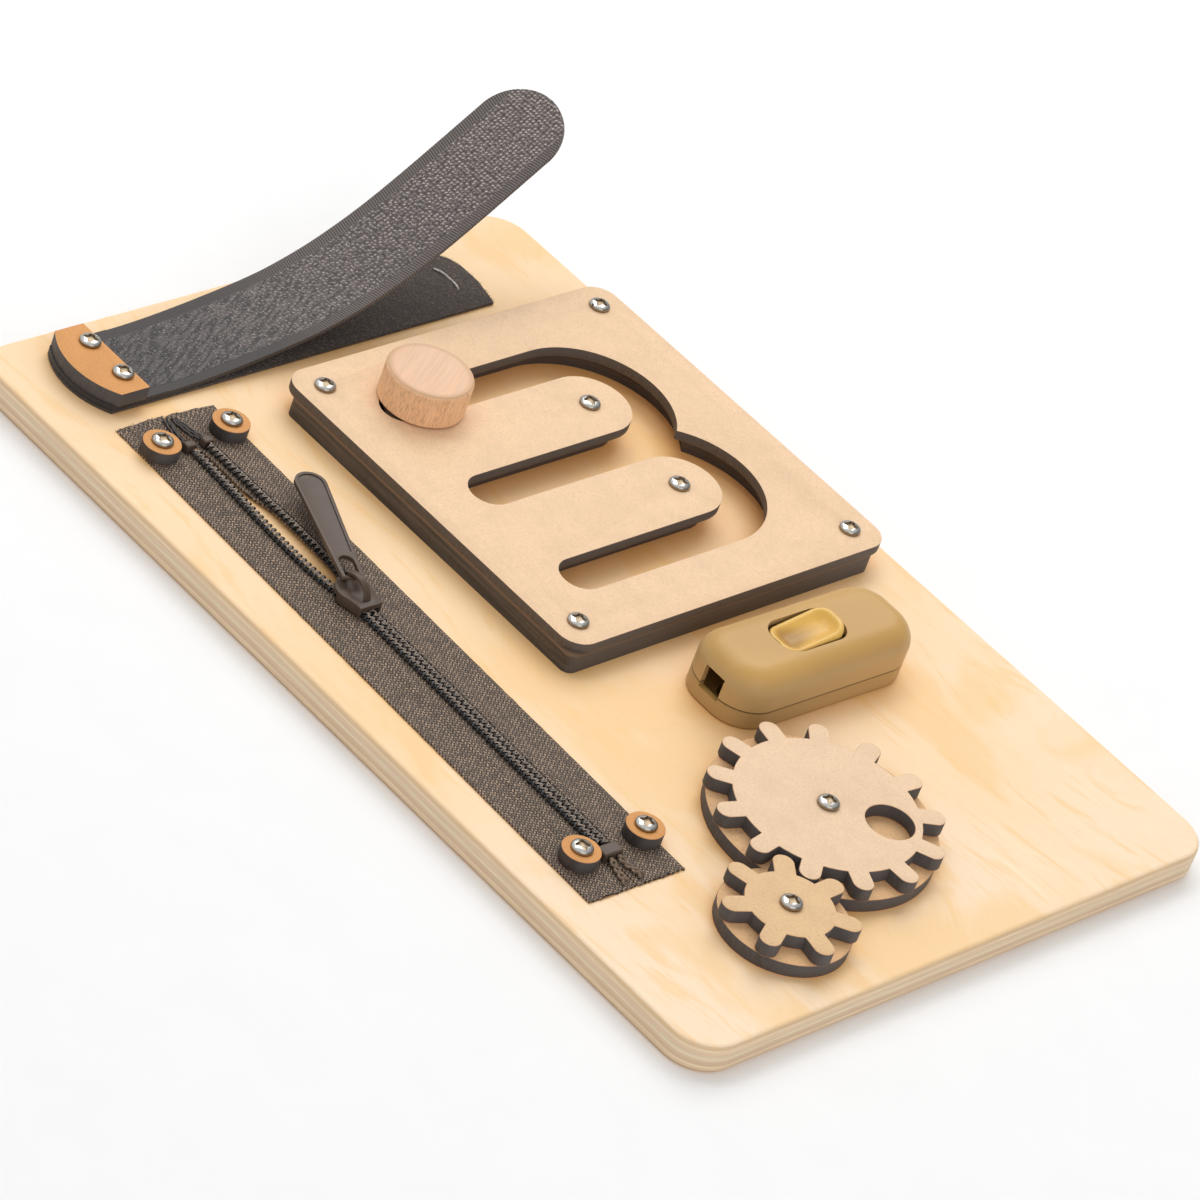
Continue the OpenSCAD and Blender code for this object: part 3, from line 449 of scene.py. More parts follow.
def turned_beech(look):
    """Beech with upright flecks on its side and slanting streaks across its dished face."""
    f = Finish("turned_beech")
    w = f.wiring
    low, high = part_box("knob_cap")
    middle = [-(low[i] + high[i]) / 2 / MM for i in (0, 1)]
    radius = (high[0] - low[0]) / 2 / MM
    local = w.shifted(f.place, (middle[0], middle[1], 0))
    x, y, _ = w.split(local)
    reach = w.math("SQRT", w.math("ADD", w.math("MULTIPLY", x, x), w.math("MULTIPLY", y, y)))
    slant = w.shifted(local, (0, 0, 0), (0, 0, math.radians(-28)))
    streaks = w.noise(w.stretch(slant, 2.3, 0.07, 0.3), detail=3, roughness=0.6)
    bands = w.noise(w.stretch(slant, 0.35, 0.03, 0.1), detail=2)
    flecks = w.noise(w.stretch(slant, 2.6, 0.7, 1.0), detail=2)
    rays = w.noise(w.stretch(f.place, 3.4, 3.4, 0.4), detail=3, roughness=0.6)
    broad = w.noise(w.stretch(f.place, 0.7, 0.7, 0.06), detail=2)
    side = w.mix(w.between(rays, 0.48, 0.62, 0.0, 0.7), look.beech, scaled(look.beech, 0.56))
    side = w.mix(w.between(rays, 0.32, 0.44, 0.5, 0.0), side, scaled(look.beech, 1.2))
    side = w.mix(w.between(broad, 0.4, 0.7, 0.0, 0.4), side, scaled(look.beech, 1.15))
    brown = scaled(look.beech, 0.72)
    end = w.mix(w.between(streaks, 0.5, 0.66, 0.0, 0.42), look.beech_face, brown)
    end = w.mix(w.between(streaks, 0.34, 0.44, 0.5, 0.0), end, scaled(look.beech_face, 1.12))
    end = w.mix(w.between(bands, 0.5, 0.7, 0.0, 0.3), end, look.beech)
    end = w.mix(w.between(flecks, 0.56, 0.72, 0.0, 0.4), end, brown)
    # Painted shade: a darker ring where the dished face rounds over into the side.
    end = w.mix(w.between(reach, radius * 0.8, radius * 0.92, 0.0, 0.85), end, scaled(look.beech, 0.68))
    colour = w.mix(w.between(f.facing[2], 0.5, 0.85), side, end)
    relief = w.math("ADD", rays, streaks)
    return f.set(Base_Color=colour, Roughness=0.5, Normal=w.bump(relief, 0.00004), IOR=1.45)


def bright_zinc(look):
    """Polished zinc with painted reflections of the wood round it, browner on its steep sides and in its
    recess, which is also duller, and painted shade in its tightest corners.
    """
    f = Finish("bright_zinc")
    w = f.wiring
    cloud = w.grains(f.place, 0.9, detail=3)
    scuff = w.grains(f.place, 6.0, detail=2)
    colour = w.mix(w.between(cloud, 0.35, 0.75, 0.0, 0.4), look.zinc, scaled(look.zinc, 0.75))
    # Painted reflection: browner where wood and other pieces stand close to the head.
    around = w.between(w.openness(0.0025), 0.45, 0.98, 0.7, 0.0)
    colour = w.mix(around, colour, display(142, 122, 92))
    recess = w.node("ShaderNodeAttribute", attribute_name="recess").outputs["Fac"]
    # Painted reflection of the wood: the cross recess takes a darker brown.
    colour = w.mix(w.math("MULTIPLY", recess, 0.8), colour, display(160, 140, 112))
    # Painted shade: nearly black in the tightest corners.
    corner = w.between(w.openness(0.001), 0.2, 0.7, 0.55, 0.0)
    colour = w.mix(corner, colour, scaled(look.zinc, 0.12))
    # Painted reflection: the steep sides of the head turn browner.
    steep = w.between(w.math("ABSOLUTE", f.facing[2]), 0.3, 0.85, 0.65, 0.0)
    colour = w.mix(steep, colour, display(136, 116, 90))
    rough = w.math("MULTIPLY_ADD", recess, 0.3, w.between(scuff, 0.3, 0.8, 0.14, 0.26))
    return f.set(Base_Color=colour, Roughness=rough, Metallic=1.0, Normal=w.bump(scuff, 0.00001))


def gunmetal(look):
    """Satin metal paint, even in tone, lighter along its edges from wear and a painted highlight, and
    darkened by painted shade in its grooves and beside other pieces.
    """
    f = Finish("gunmetal")
    w = f.wiring
    cloud = w.grains(f.place, 0.25, detail=2)
    grit = w.grains(f.place, 7.0, detail=2)
    colour = w.mix(w.between(cloud, 0.3, 0.7), scaled(look.gunmetal, 0.93), scaled(look.gunmetal, 1.05))
    # Lighter convex edges: partly wear, partly a painted highlight.
    worn = w.openness(0.0004, samples=6, inside=True, only_local=True)
    colour = w.mix(w.between(worn, 0.35, 0.8, 0.6, 0.0), colour, scaled(look.gunmetal, 2.6))
    # Painted shade: nearly black in grooves and beside other pieces.
    near = w.openness(0.0009)
    colour = w.mix(w.between(near, 0.5, 0.95, 0.85, 0.0), colour, scaled(look.gunmetal, 0.12))
    return f.set(
        Base_Color=colour,
        Roughness=w.between(grit, 0.3, 0.8, 0.32, 0.42),
        Specular_IOR_Level=0.22,
        Normal=w.bump(grit, 0.00001),
    )


def plain_brass():
    """Brass of the contacts, a little tarnished."""
    f = Finish("plain_brass")
    w = f.wiring
    tarnish = w.grains(f.place, 0.8, detail=3)
    colour = w.mix(w.between(tarnish, 0.4, 0.7), display(206, 170, 96), display(150, 112, 58))
    return f.set(Base_Color=colour, Roughness=0.34, Metallic=1.0)


def gold_plastic(look):
    """Satin moulded housing, with the dark line where its shells meet, a greyer painted shading on its
    sides, and painted shade on its lower shell and beside other pieces.
    """
    f = Finish("gold_plastic")
    w = f.wiring
    seam_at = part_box("switch_upper_shell")[0][2] / MM
    above = w.math("SUBTRACT", w.split(f.place)[2], seam_at)
    cloud = w.grains(f.place, 0.03, detail=1)
    fine = w.grains(f.place, 3.0, detail=3)
    colour = w.mix(w.between(cloud, 0.3, 0.7), scaled(look.gold, 0.94), scaled(look.gold, 1.05))
    colour = w.mix(w.between(fine, 0.45, 0.8, 0.0, 0.3), colour, scaled(look.gold, 0.86))
    # Painted shading: the sides take a paler, greyer tone than the top.
    side = w.between(w.math("ABSOLUTE", f.facing[2]), 0.2, 0.85, 0.55, 0.0)
    colour = w.mix(side, colour, display(194, 164, 122))
    # Painted shade: the lower shell a little darker.
    lower = w.between(above, -0.3, 0.0, 0.22, 0.0)
    colour = w.mix(lower, colour, scaled(look.gold, 0.5))
    # Painted shade: darker beside other pieces and in the rocker's opening.
    near = w.openness(0.0016)
    colour = w.mix(w.between(near, 0.15, 0.75, 0.5, 0.0), colour, scaled(look.gold, 0.3))
    seam = w.between(w.math("ABSOLUTE", above), 0.12, 0.34, 1.0, 0.0)
    colour = w.mix(w.math("MULTIPLY", seam, 0.85), colour, scaled(look.gold, 0.12))
    return f.set(
        Base_Color=colour,
        Roughness=w.between(fine, 0.3, 0.8, 0.36, 0.46),
        Normal=w.bump(fine, 0.000015),
        Specular_IOR_Level=0.34,
    )


def amber_plastic(look):
    """Glossy rocker with painted highlights on its lip and raised end, painted shade at its low end and
    its foot, and its deeper base tone inside its dish.
    """
    f = Finish("amber_plastic")
    w = f.wiring
    cloud = w.grains(f.place, 0.12, detail=1)
    fine = w.grains(f.place, 2.0, detail=2)
    colour = w.mix(w.between(cloud, 0.3, 0.7), scaled(look.amber, 0.96), scaled(look.amber, 1.04))
    height = w.split(f.place)[2]
    # Painted highlight: the raised end lighter and yellower.
    raised_end_highlight = w.between(height, 24.1, 25.8, 0.0, 0.85)
    colour = w.mix(raised_end_highlight, colour, display(234, 186, 92))
    # Painted shade: the low end darker.
    low_end_shade = w.between(height, 22.6, 23.8, 0.6, 0.0)
    colour = w.mix(low_end_shade, colour, display(188, 152, 92))
    # Painted highlight along the rounded lip.
    lip = w.openness(0.0016, inside=True, only_local=True)
    colour = w.mix(w.between(lip, 0.45, 0.95, 0.85, 0.0), colour, look.lip)
    # Painted shade: nearly black beside the housing.
    near = w.openness(0.002)
    colour = w.mix(w.between(near, 0.2, 0.75, 0.9, 0.0), colour, scaled(look.amber, 0.1))
    rough = w.between(fine, 0.3, 0.8, 0.26, 0.34)
    return f.set(Base_Color=colour, Roughness=rough, Normal=w.bump(fine, 0.00001), IOR=1.38)


LOOP_LEAN = math.radians(-49)
LOOP_SPREAD = 1.1
STREAK_LEAN = math.radians(64)


def curled_loops(f, along, pitch):
    """Small bowed loops, each at an angle of its own: the loops, the shade below them, their luck."""
    w = f.wiring
    plan = w.stretch(f.cloth, 1 / pitch, 1 / pitch, 0.0)
    disorder = w.between(along, 60.0, 175.0, 0.8, 0.35)
    inputs = {"Vector": plan, "Scale": 1.0, "Randomness": disorder}
    cells = w.node("ShaderNodeTexVoronoi", inputs, voronoi_dimensions="2D").outputs
    lucks = w.node("ShaderNodeSeparateColor", {0: cells["Color"]}).outputs
    inputs = {0: plan, 1: cells["Position"]}
    offset = w.node("ShaderNodeVectorMath", inputs, operation="SUBTRACT").outputs[0]
    turn = w.math("MULTIPLY_ADD", lucks[2], LOOP_SPREAD, LOOP_LEAN - LOOP_SPREAD / 2)
    inputs = {"Vector": offset, "Angle": turn}
    u, v, _ = w.split(w.node("ShaderNodeVectorRotate", inputs, rotation_type="Z_AXIS").outputs[0])
    bow = w.math("MULTIPLY_ADD", w.math("MULTIPLY", u, u), 1.3, v)
    reach = w.between(w.math("ABSOLUTE", u), 0.16, 0.38, 1.0, 0.0)
    loop = w.math("MULTIPLY", w.between(w.math("ABSOLUTE", bow), 0.06, 0.22, 1.0, 0.0), reach)
    # Painted shade under each loop and in the gaps between cells.
    below = w.between(w.math("ABSOLUTE", w.math("ADD", bow, 0.36)), 0.06, 0.28, 1.0, 0.0)
    cell_gap = w.between(cells["Distance"], 0.44, 0.66)
    below = w.math("MAXIMUM", w.math("MULTIPLY", below, reach), cell_gap)
    return loop, below, lucks[0]


def ribbed_selvedge(f, look, half_width):
    """The strap's edges with their worn border: where they lie, their ribs, how clear these are."""
    w = f.wiring
    across, along, _ = w.split(f.cloth)
    stray = w.noise(w.stretch(f.cloth, 0.55, 0.55, 1.0), detail=3, roughness=0.65)
    from_middle = w.math("ABSOLUTE", w.math("SUBTRACT", across, 0.3))
    edge = w.math("SUBTRACT", half_width / MM, from_middle)
    worn = w.math("MULTIPLY_ADD", w.math("SUBTRACT", stray, 0.5), 0.64, edge)
    border = look.selvedge / MM
    in_selvedge = w.between(worn, border - 0.15, border + 0.15, 1.0, 0.0)
    clear = w.math("MULTIPLY_ADD", w.between(along, 45.0, 105.0), 0.7, 0.3)
    slanted = w.math("ADD", along, w.math("MULTIPLY", edge, 0.2))
    ribs = w.wave(w.math("DIVIDE", slanted, look.rib_pitch / MM))
    return in_selvedge, w.math("MULTIPLY", ribs, clear), clear


def woven_strap(look, half_width):
    """Back of a hook tape: small curled loops between two ribbed selvedges, streaky at its root, with
    painted glints on its loops and painted shade under them, in the valleys of its ridges and ribs, and
    beside the bar.
    """
    f = Finish("woven_strap")
    w = f.wiring
    along = w.split(f.cloth)[1]
    free = w.between(along, 15.0, 165.0)
    loop, below, luck = curled_loops(f, along, look.knot_pitch / MM)
    in_selvedge, ribs, ribs_clear = ribbed_selvedge(f, look, half_width)
    slanted = w.shifted(f.cloth, (0, 0, 0), (0, 0, STREAK_LEAN))
    streaks = w.noise(w.stretch(slanted, 0.15, 0.85, 1.0), detail=2, roughness=0.5)
    speck = w.noise(w.stretch(f.cloth, 1.5, 1.5, 1.0), detail=3, roughness=0.75)
    glint = w.noise(w.stretch(f.cloth, 1.7, 1.7, 1.0), detail=1, roughness=0.5)
    yarn = w.mix(free, look.root_yarn, look.yarn)
    high = w.mix(w.between(along, 25.0, 95.0), scaled(look.root_yarn, 1.1), scaled(look.yarn, 0.84))
    # Painted shade in the valleys of the slanted ridges, over the yarn's own streaks.
    streaked = w.mix(w.between(streaks, 0.44, 0.56), scaled(look.ground_and_shade, 0.65), high)
    colour = w.mix(w.math("MULTIPLY_ADD", free, 0.8, 0.05), streaked, yarn)
    # Painted shade under the loops, stronger towards the free end.
    shade = w.math("MULTIPLY", below, w.math("MULTIPLY_ADD", free, 0.75, 0.1))
    colour = w.mix(shade, colour, scaled(look.ground_and_shade, 0.8))
    grain = w.math("MULTIPLY_ADD", free, 0.7, 0.3)
    dark = w.math("MULTIPLY", w.between(speck, 0.5, 0.66, 0.0, 0.5), grain)
    colour = w.mix(dark, colour, scaled(look.ground_and_shade, 0.6))
    pale = w.math("MULTIPLY", w.between(speck, 0.34, 0.44, 0.35, 0.0), grain)
    colour = w.mix(pale, colour, scaled(look.yarn, 1.3))
    # The loops are real; their light colour and the bright specks are painted glints.
    light = w.math("MULTIPLY", loop, w.between(luck, -0.2, 1.0))
    light = w.math("MULTIPLY", light, w.math("MULTIPLY_ADD", free, 0.85, 0.1))
    flick = w.math("MULTIPLY", w.between(glint, 0.65, 0.72), w.math("MULTIPLY_ADD", free, 0.1, 0.55))
    in_body = w.math("SUBTRACT", 1.0, in_selvedge)
    light = w.math("MULTIPLY", w.math("MAXIMUM", light, flick), in_body)
    colour = w.mix(light, colour, look.knot_glint)
    # Painted shade in the grooves between the ribs.
    edging = w.mix(w.between(ribs, 0.15, 0.8), scaled(look.yarn, 0.36), scaled(look.yarn, 0.98))
    edging = w.mix(ribs_clear, scaled(look.root_yarn, 0.45), edging)
    colour = w.mix(in_selvedge, colour, edging)
    clamped = (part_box("strap_bar")[1][1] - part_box("strap_root")[0][1]) / MM
    # Painted shade on the strap right at the edge of the clamping bar.
    painted_bar_shade = w.between(along, clamped - 1.0, clamped, 1.0, 0.0)
    colour = w.mix(painted_bar_shade, colour, scaled(look.ground_and_shade, 0.8))
    body = w.math("MULTIPLY_ADD", streaks, 1.6, w.math("MULTIPLY", loop, 0.6))
    inputs = {0: in_selvedge, 2: body, 3: ribs}
    relief = w.node("ShaderNodeMix", inputs, data_type="FLOAT").outputs[0]
    return f.set(
        Base_Color=colour,
        Roughness=0.72,
        Normal=w.bump(relief, 0.00024, 0.9),
        Sheen_Weight=0.1,
        Sheen_Roughness=0.5,
    )


def brushed_loops(look):
    """Backing of the lower strip, dark and curly between its loops."""
    f = Finish("brushed_loops")
    w = f.wiring
    curl = w.grains(f.place, 1.3, detail=5, roughness=0.75, distortion=1.2)
    tuft = w.grains(f.place, 0.22, detail=3)
    colour = w.mix(w.between(curl, 0.35, 0.75), scaled(look.pile, 0.5), scaled(look.pile, 1.5))
    colour = w.mix(w.between(tuft, 0.4, 0.7, 0.0, 0.5), colour, scaled(look.pile, 0.6))
    return f.set(
        Base_Color=colour,
        Roughness=0.95,
        Normal=w.bump(curl, 0.0006, 0.8),
        Sheen_Weight=0.15,
        Sheen_Roughness=0.6,
    )


def zipper_twill(look):
    """Mottled herringbone twill of the tapes, read from the cloth's own plan."""
    f = Finish("zipper_twill")
    w = f.wiring
    across, along, _ = w.split(f.cloth)
    column = look.column_width / MM
    stray = w.noise(w.stretch(f.cloth, 0.6, 0.6, 1.0), detail=3, roughness=0.6)
    slip = w.math("MULTIPLY", w.math("SUBTRACT", stray, 0.5), 0.7)
    aside = w.math("MULTIPLY_ADD", slip, 0.3, across)
    cell = w.math("DIVIDE", aside, column)
    number = w.math("FLOOR", cell)
    zigzag = w.math("MULTIPLY_ADD", w.math("PINGPONG", aside, column), 0.8, w.math("ADD", along, slip))
    odd = w.math("MULTIPLY", w.math("MODULO", w.math("ABSOLUTE", number), 2.0), 0.5)
    row = w.math("ADD", w.math("DIVIDE", zigzag, look.yarn_pitch / MM), odd)
    middle = w.math("ABSOLUTE", w.math("SUBTRACT", w.math("SUBTRACT", cell, number), 0.5))
    relief = w.math("MULTIPLY", w.wave(row), w.between(middle, 0.2, 0.5, 1.0, 0.25))
    key = w.node("ShaderNodeCombineXYZ", {0: number, 1: w.math("FLOOR", row)}).outputs[0]
    luck = w.node("ShaderNodeTexWhiteNoise", {"Vector": key}, noise_dimensions="2D").outputs["Value"]
    speck = w.noise(w.stretch(f.cloth, 0.5, 0.5, 1.0), detail=3, roughness=0.7)
    lit = w.math("MULTIPLY_ADD", luck, 0.6, w.math("MULTIPLY", speck, 0.4))
    tone = w.mix(w.between(lit, 0.1, 0.9), scaled(look.twill, 0.45), scaled(look.twill, 1.2))
    return f.set(
        Base_Color=w.mix(w.between(relief, 0.2, 0.7), look.twill_dark, tone),
        Roughness=0.72,
        Normal=w.bump(relief, 0.00022, 0.9),
        Sheen_Weight=0.08,
        Sheen_Roughness=0.5,
    )


def nylon(name, colour, roughness):
    """Smooth thread, a little uneven in tone from turn to turn and from tuft to tuft."""
    f = Finish(name)
    w = f.wiring
    cloud = w.grains(f.place, 1.1, detail=2)
    tuft = w.grains(f.place, 0.28, detail=3)
    tone = w.mix(w.between(cloud, 0.35, 0.7), scaled(colour, 0.7), scaled(colour, 1.4))
    tone = w.mix(w.between(tuft, 0.42, 0.62, 0.0, 0.35), tone, scaled(colour, 0.6))
    rough = w.between(cloud, 0.3, 0.7, roughness, roughness + 0.12)
    return f.set(Base_Color=tone, Roughness=rough)


# ---- meshes -------------------------------------------------------------

MERGED_WITHIN = 0.002 * MM


def smooth(mesh, crisp_from=None):
    """Smooth shading, which leaves edges crisp from an angle in degrees."""
    for face in mesh.polygons:
        face.use_smooth = True
    if crisp_from is not None:
        mesh.set_sharp_from_angle(angle=math.radians(crisp_from))


def add_piece(name, mesh, material):
    """An object at the origin with its place in its mesh."""
    piece = bpy.data.objects.new(name, mesh)
    bpy.context.scene.collection.objects.link(piece)
    mesh.materials.clear()
    mesh.materials.append(material)
    smooth(mesh)
    return piece


def paint_node(node, material):
    """Gives a CAD node its finish."""
    slots = frame["nodes"][node].data.materials
    slots.clear()
    slots.append(material)


def merged(node):
    """An editable copy of a CAD node's solid, with its loose triangles joined."""
    solid = bmesh.new()
    solid.from_mesh(frame["nodes"][node].data)
    bmesh.ops.remove_doubles(solid, verts=solid.verts, dist=MERGED_WITHIN)
    return solid


def finished_mesh(solid, name):
    """Turns an edited solid into a mesh."""
    mesh = bpy.data.meshes.new(name)
    solid.to_mesh(mesh)
    solid.free()
    return mesh


def settle(piece, modifier):
    """Keeps what a modifier makes as the piece's own plain mesh."""
    graph = bpy.context.evaluated_depsgraph_get()
    mesh = bpy.data.meshes.new_from_object(piece.evaluated_get(graph), depsgraph=graph)
    piece.modifiers.remove(modifier)
    piece.data = mesh
    return mesh


def walls(rings, around, first=0, flip=False):
    """Quads between rings of vertices that follow each other."""
    faces = []
    for ring in range(rings - 1):
        here = first + ring * around
        for i in range(around):
            j = (i + 1) % around
            low_i, low_j, high_j, high_i = here + i, here + j, here + around + j, here + around + i
            faces.append((low_i, high_i, high_j, low_j) if flip else (low_i, low_j, high_j, high_i))
    return faces


def lay_plan(mesh, plan):
    """Stores where each vertex lies in the flat cloth as the mesh's UV map."""
    uv = mesh.uv_layers.new(name="plan")
    for loop in mesh.loops:
        uv.data[loop.index].uv = plan[loop.vertex_index]


def cut_off(solid, at, out):
    """Takes away what lies beyond a plane, and closes the cut."""
    parts = list(solid.verts) + list(solid.edges) + list(solid.faces)
    cut = bmesh.ops.bisect_plane(solid, geom=parts, plane_co=at, plane_no=out, clear_outer=True)
    rim = [part for part in cut["geom_cut"] if isinstance(part, bmesh.types.BMEdge)]
    bmesh.ops.contextual_create(solid, geom=rim)


def eased_copy(node, body, material, ease, segments=2, angle=35):
    """A copy of a CAD node with eased edges, which rides on its body and stands for it."""
    name = node + "_eased"
    solid = merged(node)
    flat = math.radians(1.0)
    bmesh.ops.dissolve_limit(solid, angle_limit=flat, verts=solid.verts, edges=solid.edges)
    piece = add_piece(name, finished_mesh(solid, name), material)
    bevel = piece.modifiers.new("ease", "BEVEL")
    bevel.width = ease
    bevel.segments = segments
    bevel.limit_method = "ANGLE"
    bevel.angle_limit = math.radians(angle)
    bevel.harden_normals = True
    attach(piece, body)
    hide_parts(node)
    return piece


def islands(node):
    """The lowest and highest corner of each separate solid of a CAD node, in order of place."""
    solid = merged(node)
    boxes = []
    left = set(solid.verts)
    while left:
        group = [left.pop()]
        for vertex in group:
            for edge in vertex.link_edges:
                other = edge.other_vert(vertex)
                if other in left:
                    left.remove(other)
                    group.append(other)
        low = Vector([min(v.co[i] for v in group) for i in range(3)])
        high = Vector([max(v.co[i] for v in group) for i in range(3)])
        boxes.append((low, high))
    solid.free()
    return sorted(boxes, key=lambda box: (round(box[0].x, 5), round(box[0].y, 5)))


def points_mesh(name, places):
    """A mesh of loose points."""
    mesh = bpy.data.meshes.new(name)
    mesh.from_pydata([tuple(p) for p in places], [], [])
    return mesh


def grown(name, seed_mesh, tree, values, material):
    """Runs a Geometry Nodes tree on a mesh and keeps what it makes as a plain mesh."""
    piece = bpy.data.objects.new(name, seed_mesh)
    bpy.context.scene.collection.objects.link(piece)
    modifier = piece.modifiers.new("grow", "NODES")
    modifier.node_group = tree
    for item in tree.interface.items_tree:
        if item.item_type == "SOCKET" and item.in_out == "INPUT" and item.name in values:
            modifier[item.identifier] = values[item.name]
    mesh = settle(piece, modifier)
    mesh.materials.clear()
    mesh.materials.append(material)
    return piece


def new_tree(name, inputs):
    """A Geometry Nodes group with a geometry in and out and the named inputs."""
    tree = bpy.data.node_groups.new(name, "GeometryNodeTree")
    tree.interface.new_socket("Geometry", in_out="INPUT", socket_type="NodeSocketGeometry")
    for label, kind in inputs:
        tree.interface.new_socket(label, in_out="INPUT", socket_type=kind)
    tree.interface.new_socket("Geometry", in_out="OUTPUT", socket_type="NodeSocketGeometry")
    w = Wiring(tree)
    start = w.node("NodeGroupInput")
    end = w.node("NodeGroupOutput")
    return tree, w, start.outputs, end.inputs


def close_tree(w, instances, material, end):
    """Ends a tree in real geometry with its material."""
    real = w.node("GeometryNodeRealizeInstances", {0: instances}).outputs[0]
    made = w.node("GeometryNodeSetMaterial", {"Geometry": real, "Material": material}).outputs[0]
    w.join(made, end["Geometry"])


def placed_shapes(w, start, points):
    """One shape on every point, with seeded random turn, lean and size."""
    shape = w.node("GeometryNodeObjectInfo", {"Object": start["Shape"]}).outputs["Geometry"]

    def chance(low, high, step):
        made = w.node("FunctionNodeRandomValue", {2: low, 3: high}, data_type="FLOAT")
        w.join(w.math("ADD", start["Seed"], float(step)), made.inputs["Seed"])
        return made.outputs[1]

    back = w.math("MULTIPLY", start["Lean"], -1.0)
    leans = [chance(back, start["Lean"], step) for step in (1, 2)]
    low = w.math("SUBTRACT", 1.0, start["Vary"])
    turn = chance(0.0, start["Turn"], 0)
    angles = w.node("ShaderNodeCombineXYZ", {0: leans[0], 1: leans[1], 2: turn})
    inputs = {"Points": points, "Instance": shape, "Rotation": angles.outputs[0]}
    placed = w.node("GeometryNodeInstanceOnPoints", inputs)
    w.join(chance(low, 1.0, 3), placed.inputs["Scale"])
    return placed.outputs[0]


SCATTER_INPUTS = [
    ("Shape", "NodeSocketObject"),
    ("Turn", "NodeSocketFloat"),
    ("Lean", "NodeSocketFloat"),
    ("Vary", "NodeSocketFloat"),
    ("Seed", "NodeSocketInt"),
]


def repeat_tree(name, material):
    """One shape on every vertex of a mesh."""
    tree, w, start, end = new_tree(name, SCATTER_INPUTS)
    close_tree(w, placed_shapes(w, start, start["Geometry"]), material, end)
    return tree


def scatter_tree(name, material):
    """Shapes strewn over the faces of a mesh."""
    tree, w, start, end = new_tree(name, SCATTER_INPUTS + [("Density", "NodeSocketFloat")])
    inputs = {"Mesh": start["Geometry"], "Density": start["Density"], "Seed": start["Seed"]}
    points = w.node("GeometryNodeDistributePointsOnFaces", inputs).outputs["Points"]
    close_tree(w, placed_shapes(w, start, points), material, end)
    return tree


def grow_on(name, seed_mesh, shape_mesh, tree, values, material):
    """Grows one shape all over a mesh of places and gives the smooth result."""
    shape = bpy.data.objects.new(name + "_shape", shape_mesh)
    bpy.context.scene.collection.objects.link(shape)
    start = {"Shape": shape, "Turn": 0.0, "Lean": 0.0, "Vary": 0.0, "Seed": 0, **values}
    piece = grown(name, seed_mesh, tree, start, material)
    bpy.data.objects.remove(shape)
    smooth(piece.data)
    return piece


# ---- screws -------------------------------------------------------------

SCREW_HEAD_H = 1.7 * MM
SCREW_SHANK_D = 3 * MM
RECESS_RIM = 1.03
RECESS_RINGS = 4


def cross_reach(angle, core, arm, tip_half):
    """Distance from a screw's axis to the edge of its cross recess, in one direction."""
    turn = angle % (math.pi / 2)
    turn = min(turn, math.pi / 2 - turn)
    x, y = math.cos(turn), math.sin(turn)
    if y * arm <= x * tip_half:
        return arm / x
    slope = (core - tip_half) / (core - arm)
    return (tip_half - slope * arm) / (y - slope * x)


def screw_angles(arm_turn):
    """Directions round a screw's axis, closest where the arms of its recess have their corners."""
    eighth = [0.0, arm_turn * 0.6, arm_turn, 0.26, 0.38, 0.52, 0.66]
    quarter = eighth + [math.pi / 4] + [math.pi / 2 - a for a in reversed(eighth[1:])]
    return [a + quadrant * math.pi / 2 for quadrant in range(4) for a in quarter]


def screw_shape(head_d, head_h, shank_d, shank):
    """A pan-head screw with a cross recess, its head on z = 0."""
    core, arm, tip_half = 0.15 * head_d, 0.34 * head_d, 0.055 * head_d
    depth = 0.6 * head_h
    angles = screw_angles(math.atan2(tip_half, arm))
    around = len(angles)

    def dome(r):
        share = min(1.0, r / (head_d / 2))
        return head_h * (0.3 + 0.7 * math.sqrt(max(0.0, 1 - share**2.6)))

    def at(r, angle, z):
        return (r * math.cos(angle), r * math.sin(angle), z)

    points = [(0, 0, head_h - depth)]
    for share, sunk in [(0.5, depth), (0.86, depth * 0.8), (0.985, 0.05 * head_h), (RECESS_RIM, 0.0)]:
        for angle in angles:
            r = share * cross_reach(angle, core, arm, tip_half)
            points.append(at(r, angle, dome(r) - sunk))
    for blend in (0.45, 0.8, 1.0):
        for angle in angles:
            inner = RECESS_RIM * cross_reach(angle, core, arm, tip_half)
            r = inner + (0.4 * head_d - inner) * blend
            points.append(at(r, angle, dome(r)))
    profile = [(r * head_d, dome(r * head_d)) for r in (0.44, 0.468, 0.488, 0.4975)]
    profile += [(0.5 * head_d, 0.26 * head_h), (0.5 * head_d, 0.0)]
    profile += [(shank_d / 2, 0.0), (shank_d / 2, -shank)]
    for r, z in profile:
        points += [at(r, angle, z) for angle in angles]
    faces = [(0, 1 + i, 1 + (i + 1) % around) for i in range(around)]
    rings = (len(points) - 1) // around
    faces += walls(rings, around, first=1, flip=True)
    last = 1 + (rings - 1) * around
    faces.append(tuple(last + i for i in reversed(range(around))))
    mesh = bpy.data.meshes.new("screw")
    mesh.from_pydata(points, [], faces)
    recess = mesh.attributes.new("recess", "FLOAT", "POINT")
    for i in range(1 + (RECESS_RINGS - 1) * around):
        recess.data[i].value = 1.0 if i <= (RECESS_RINGS - 2) * around else 0.6
    return mesh


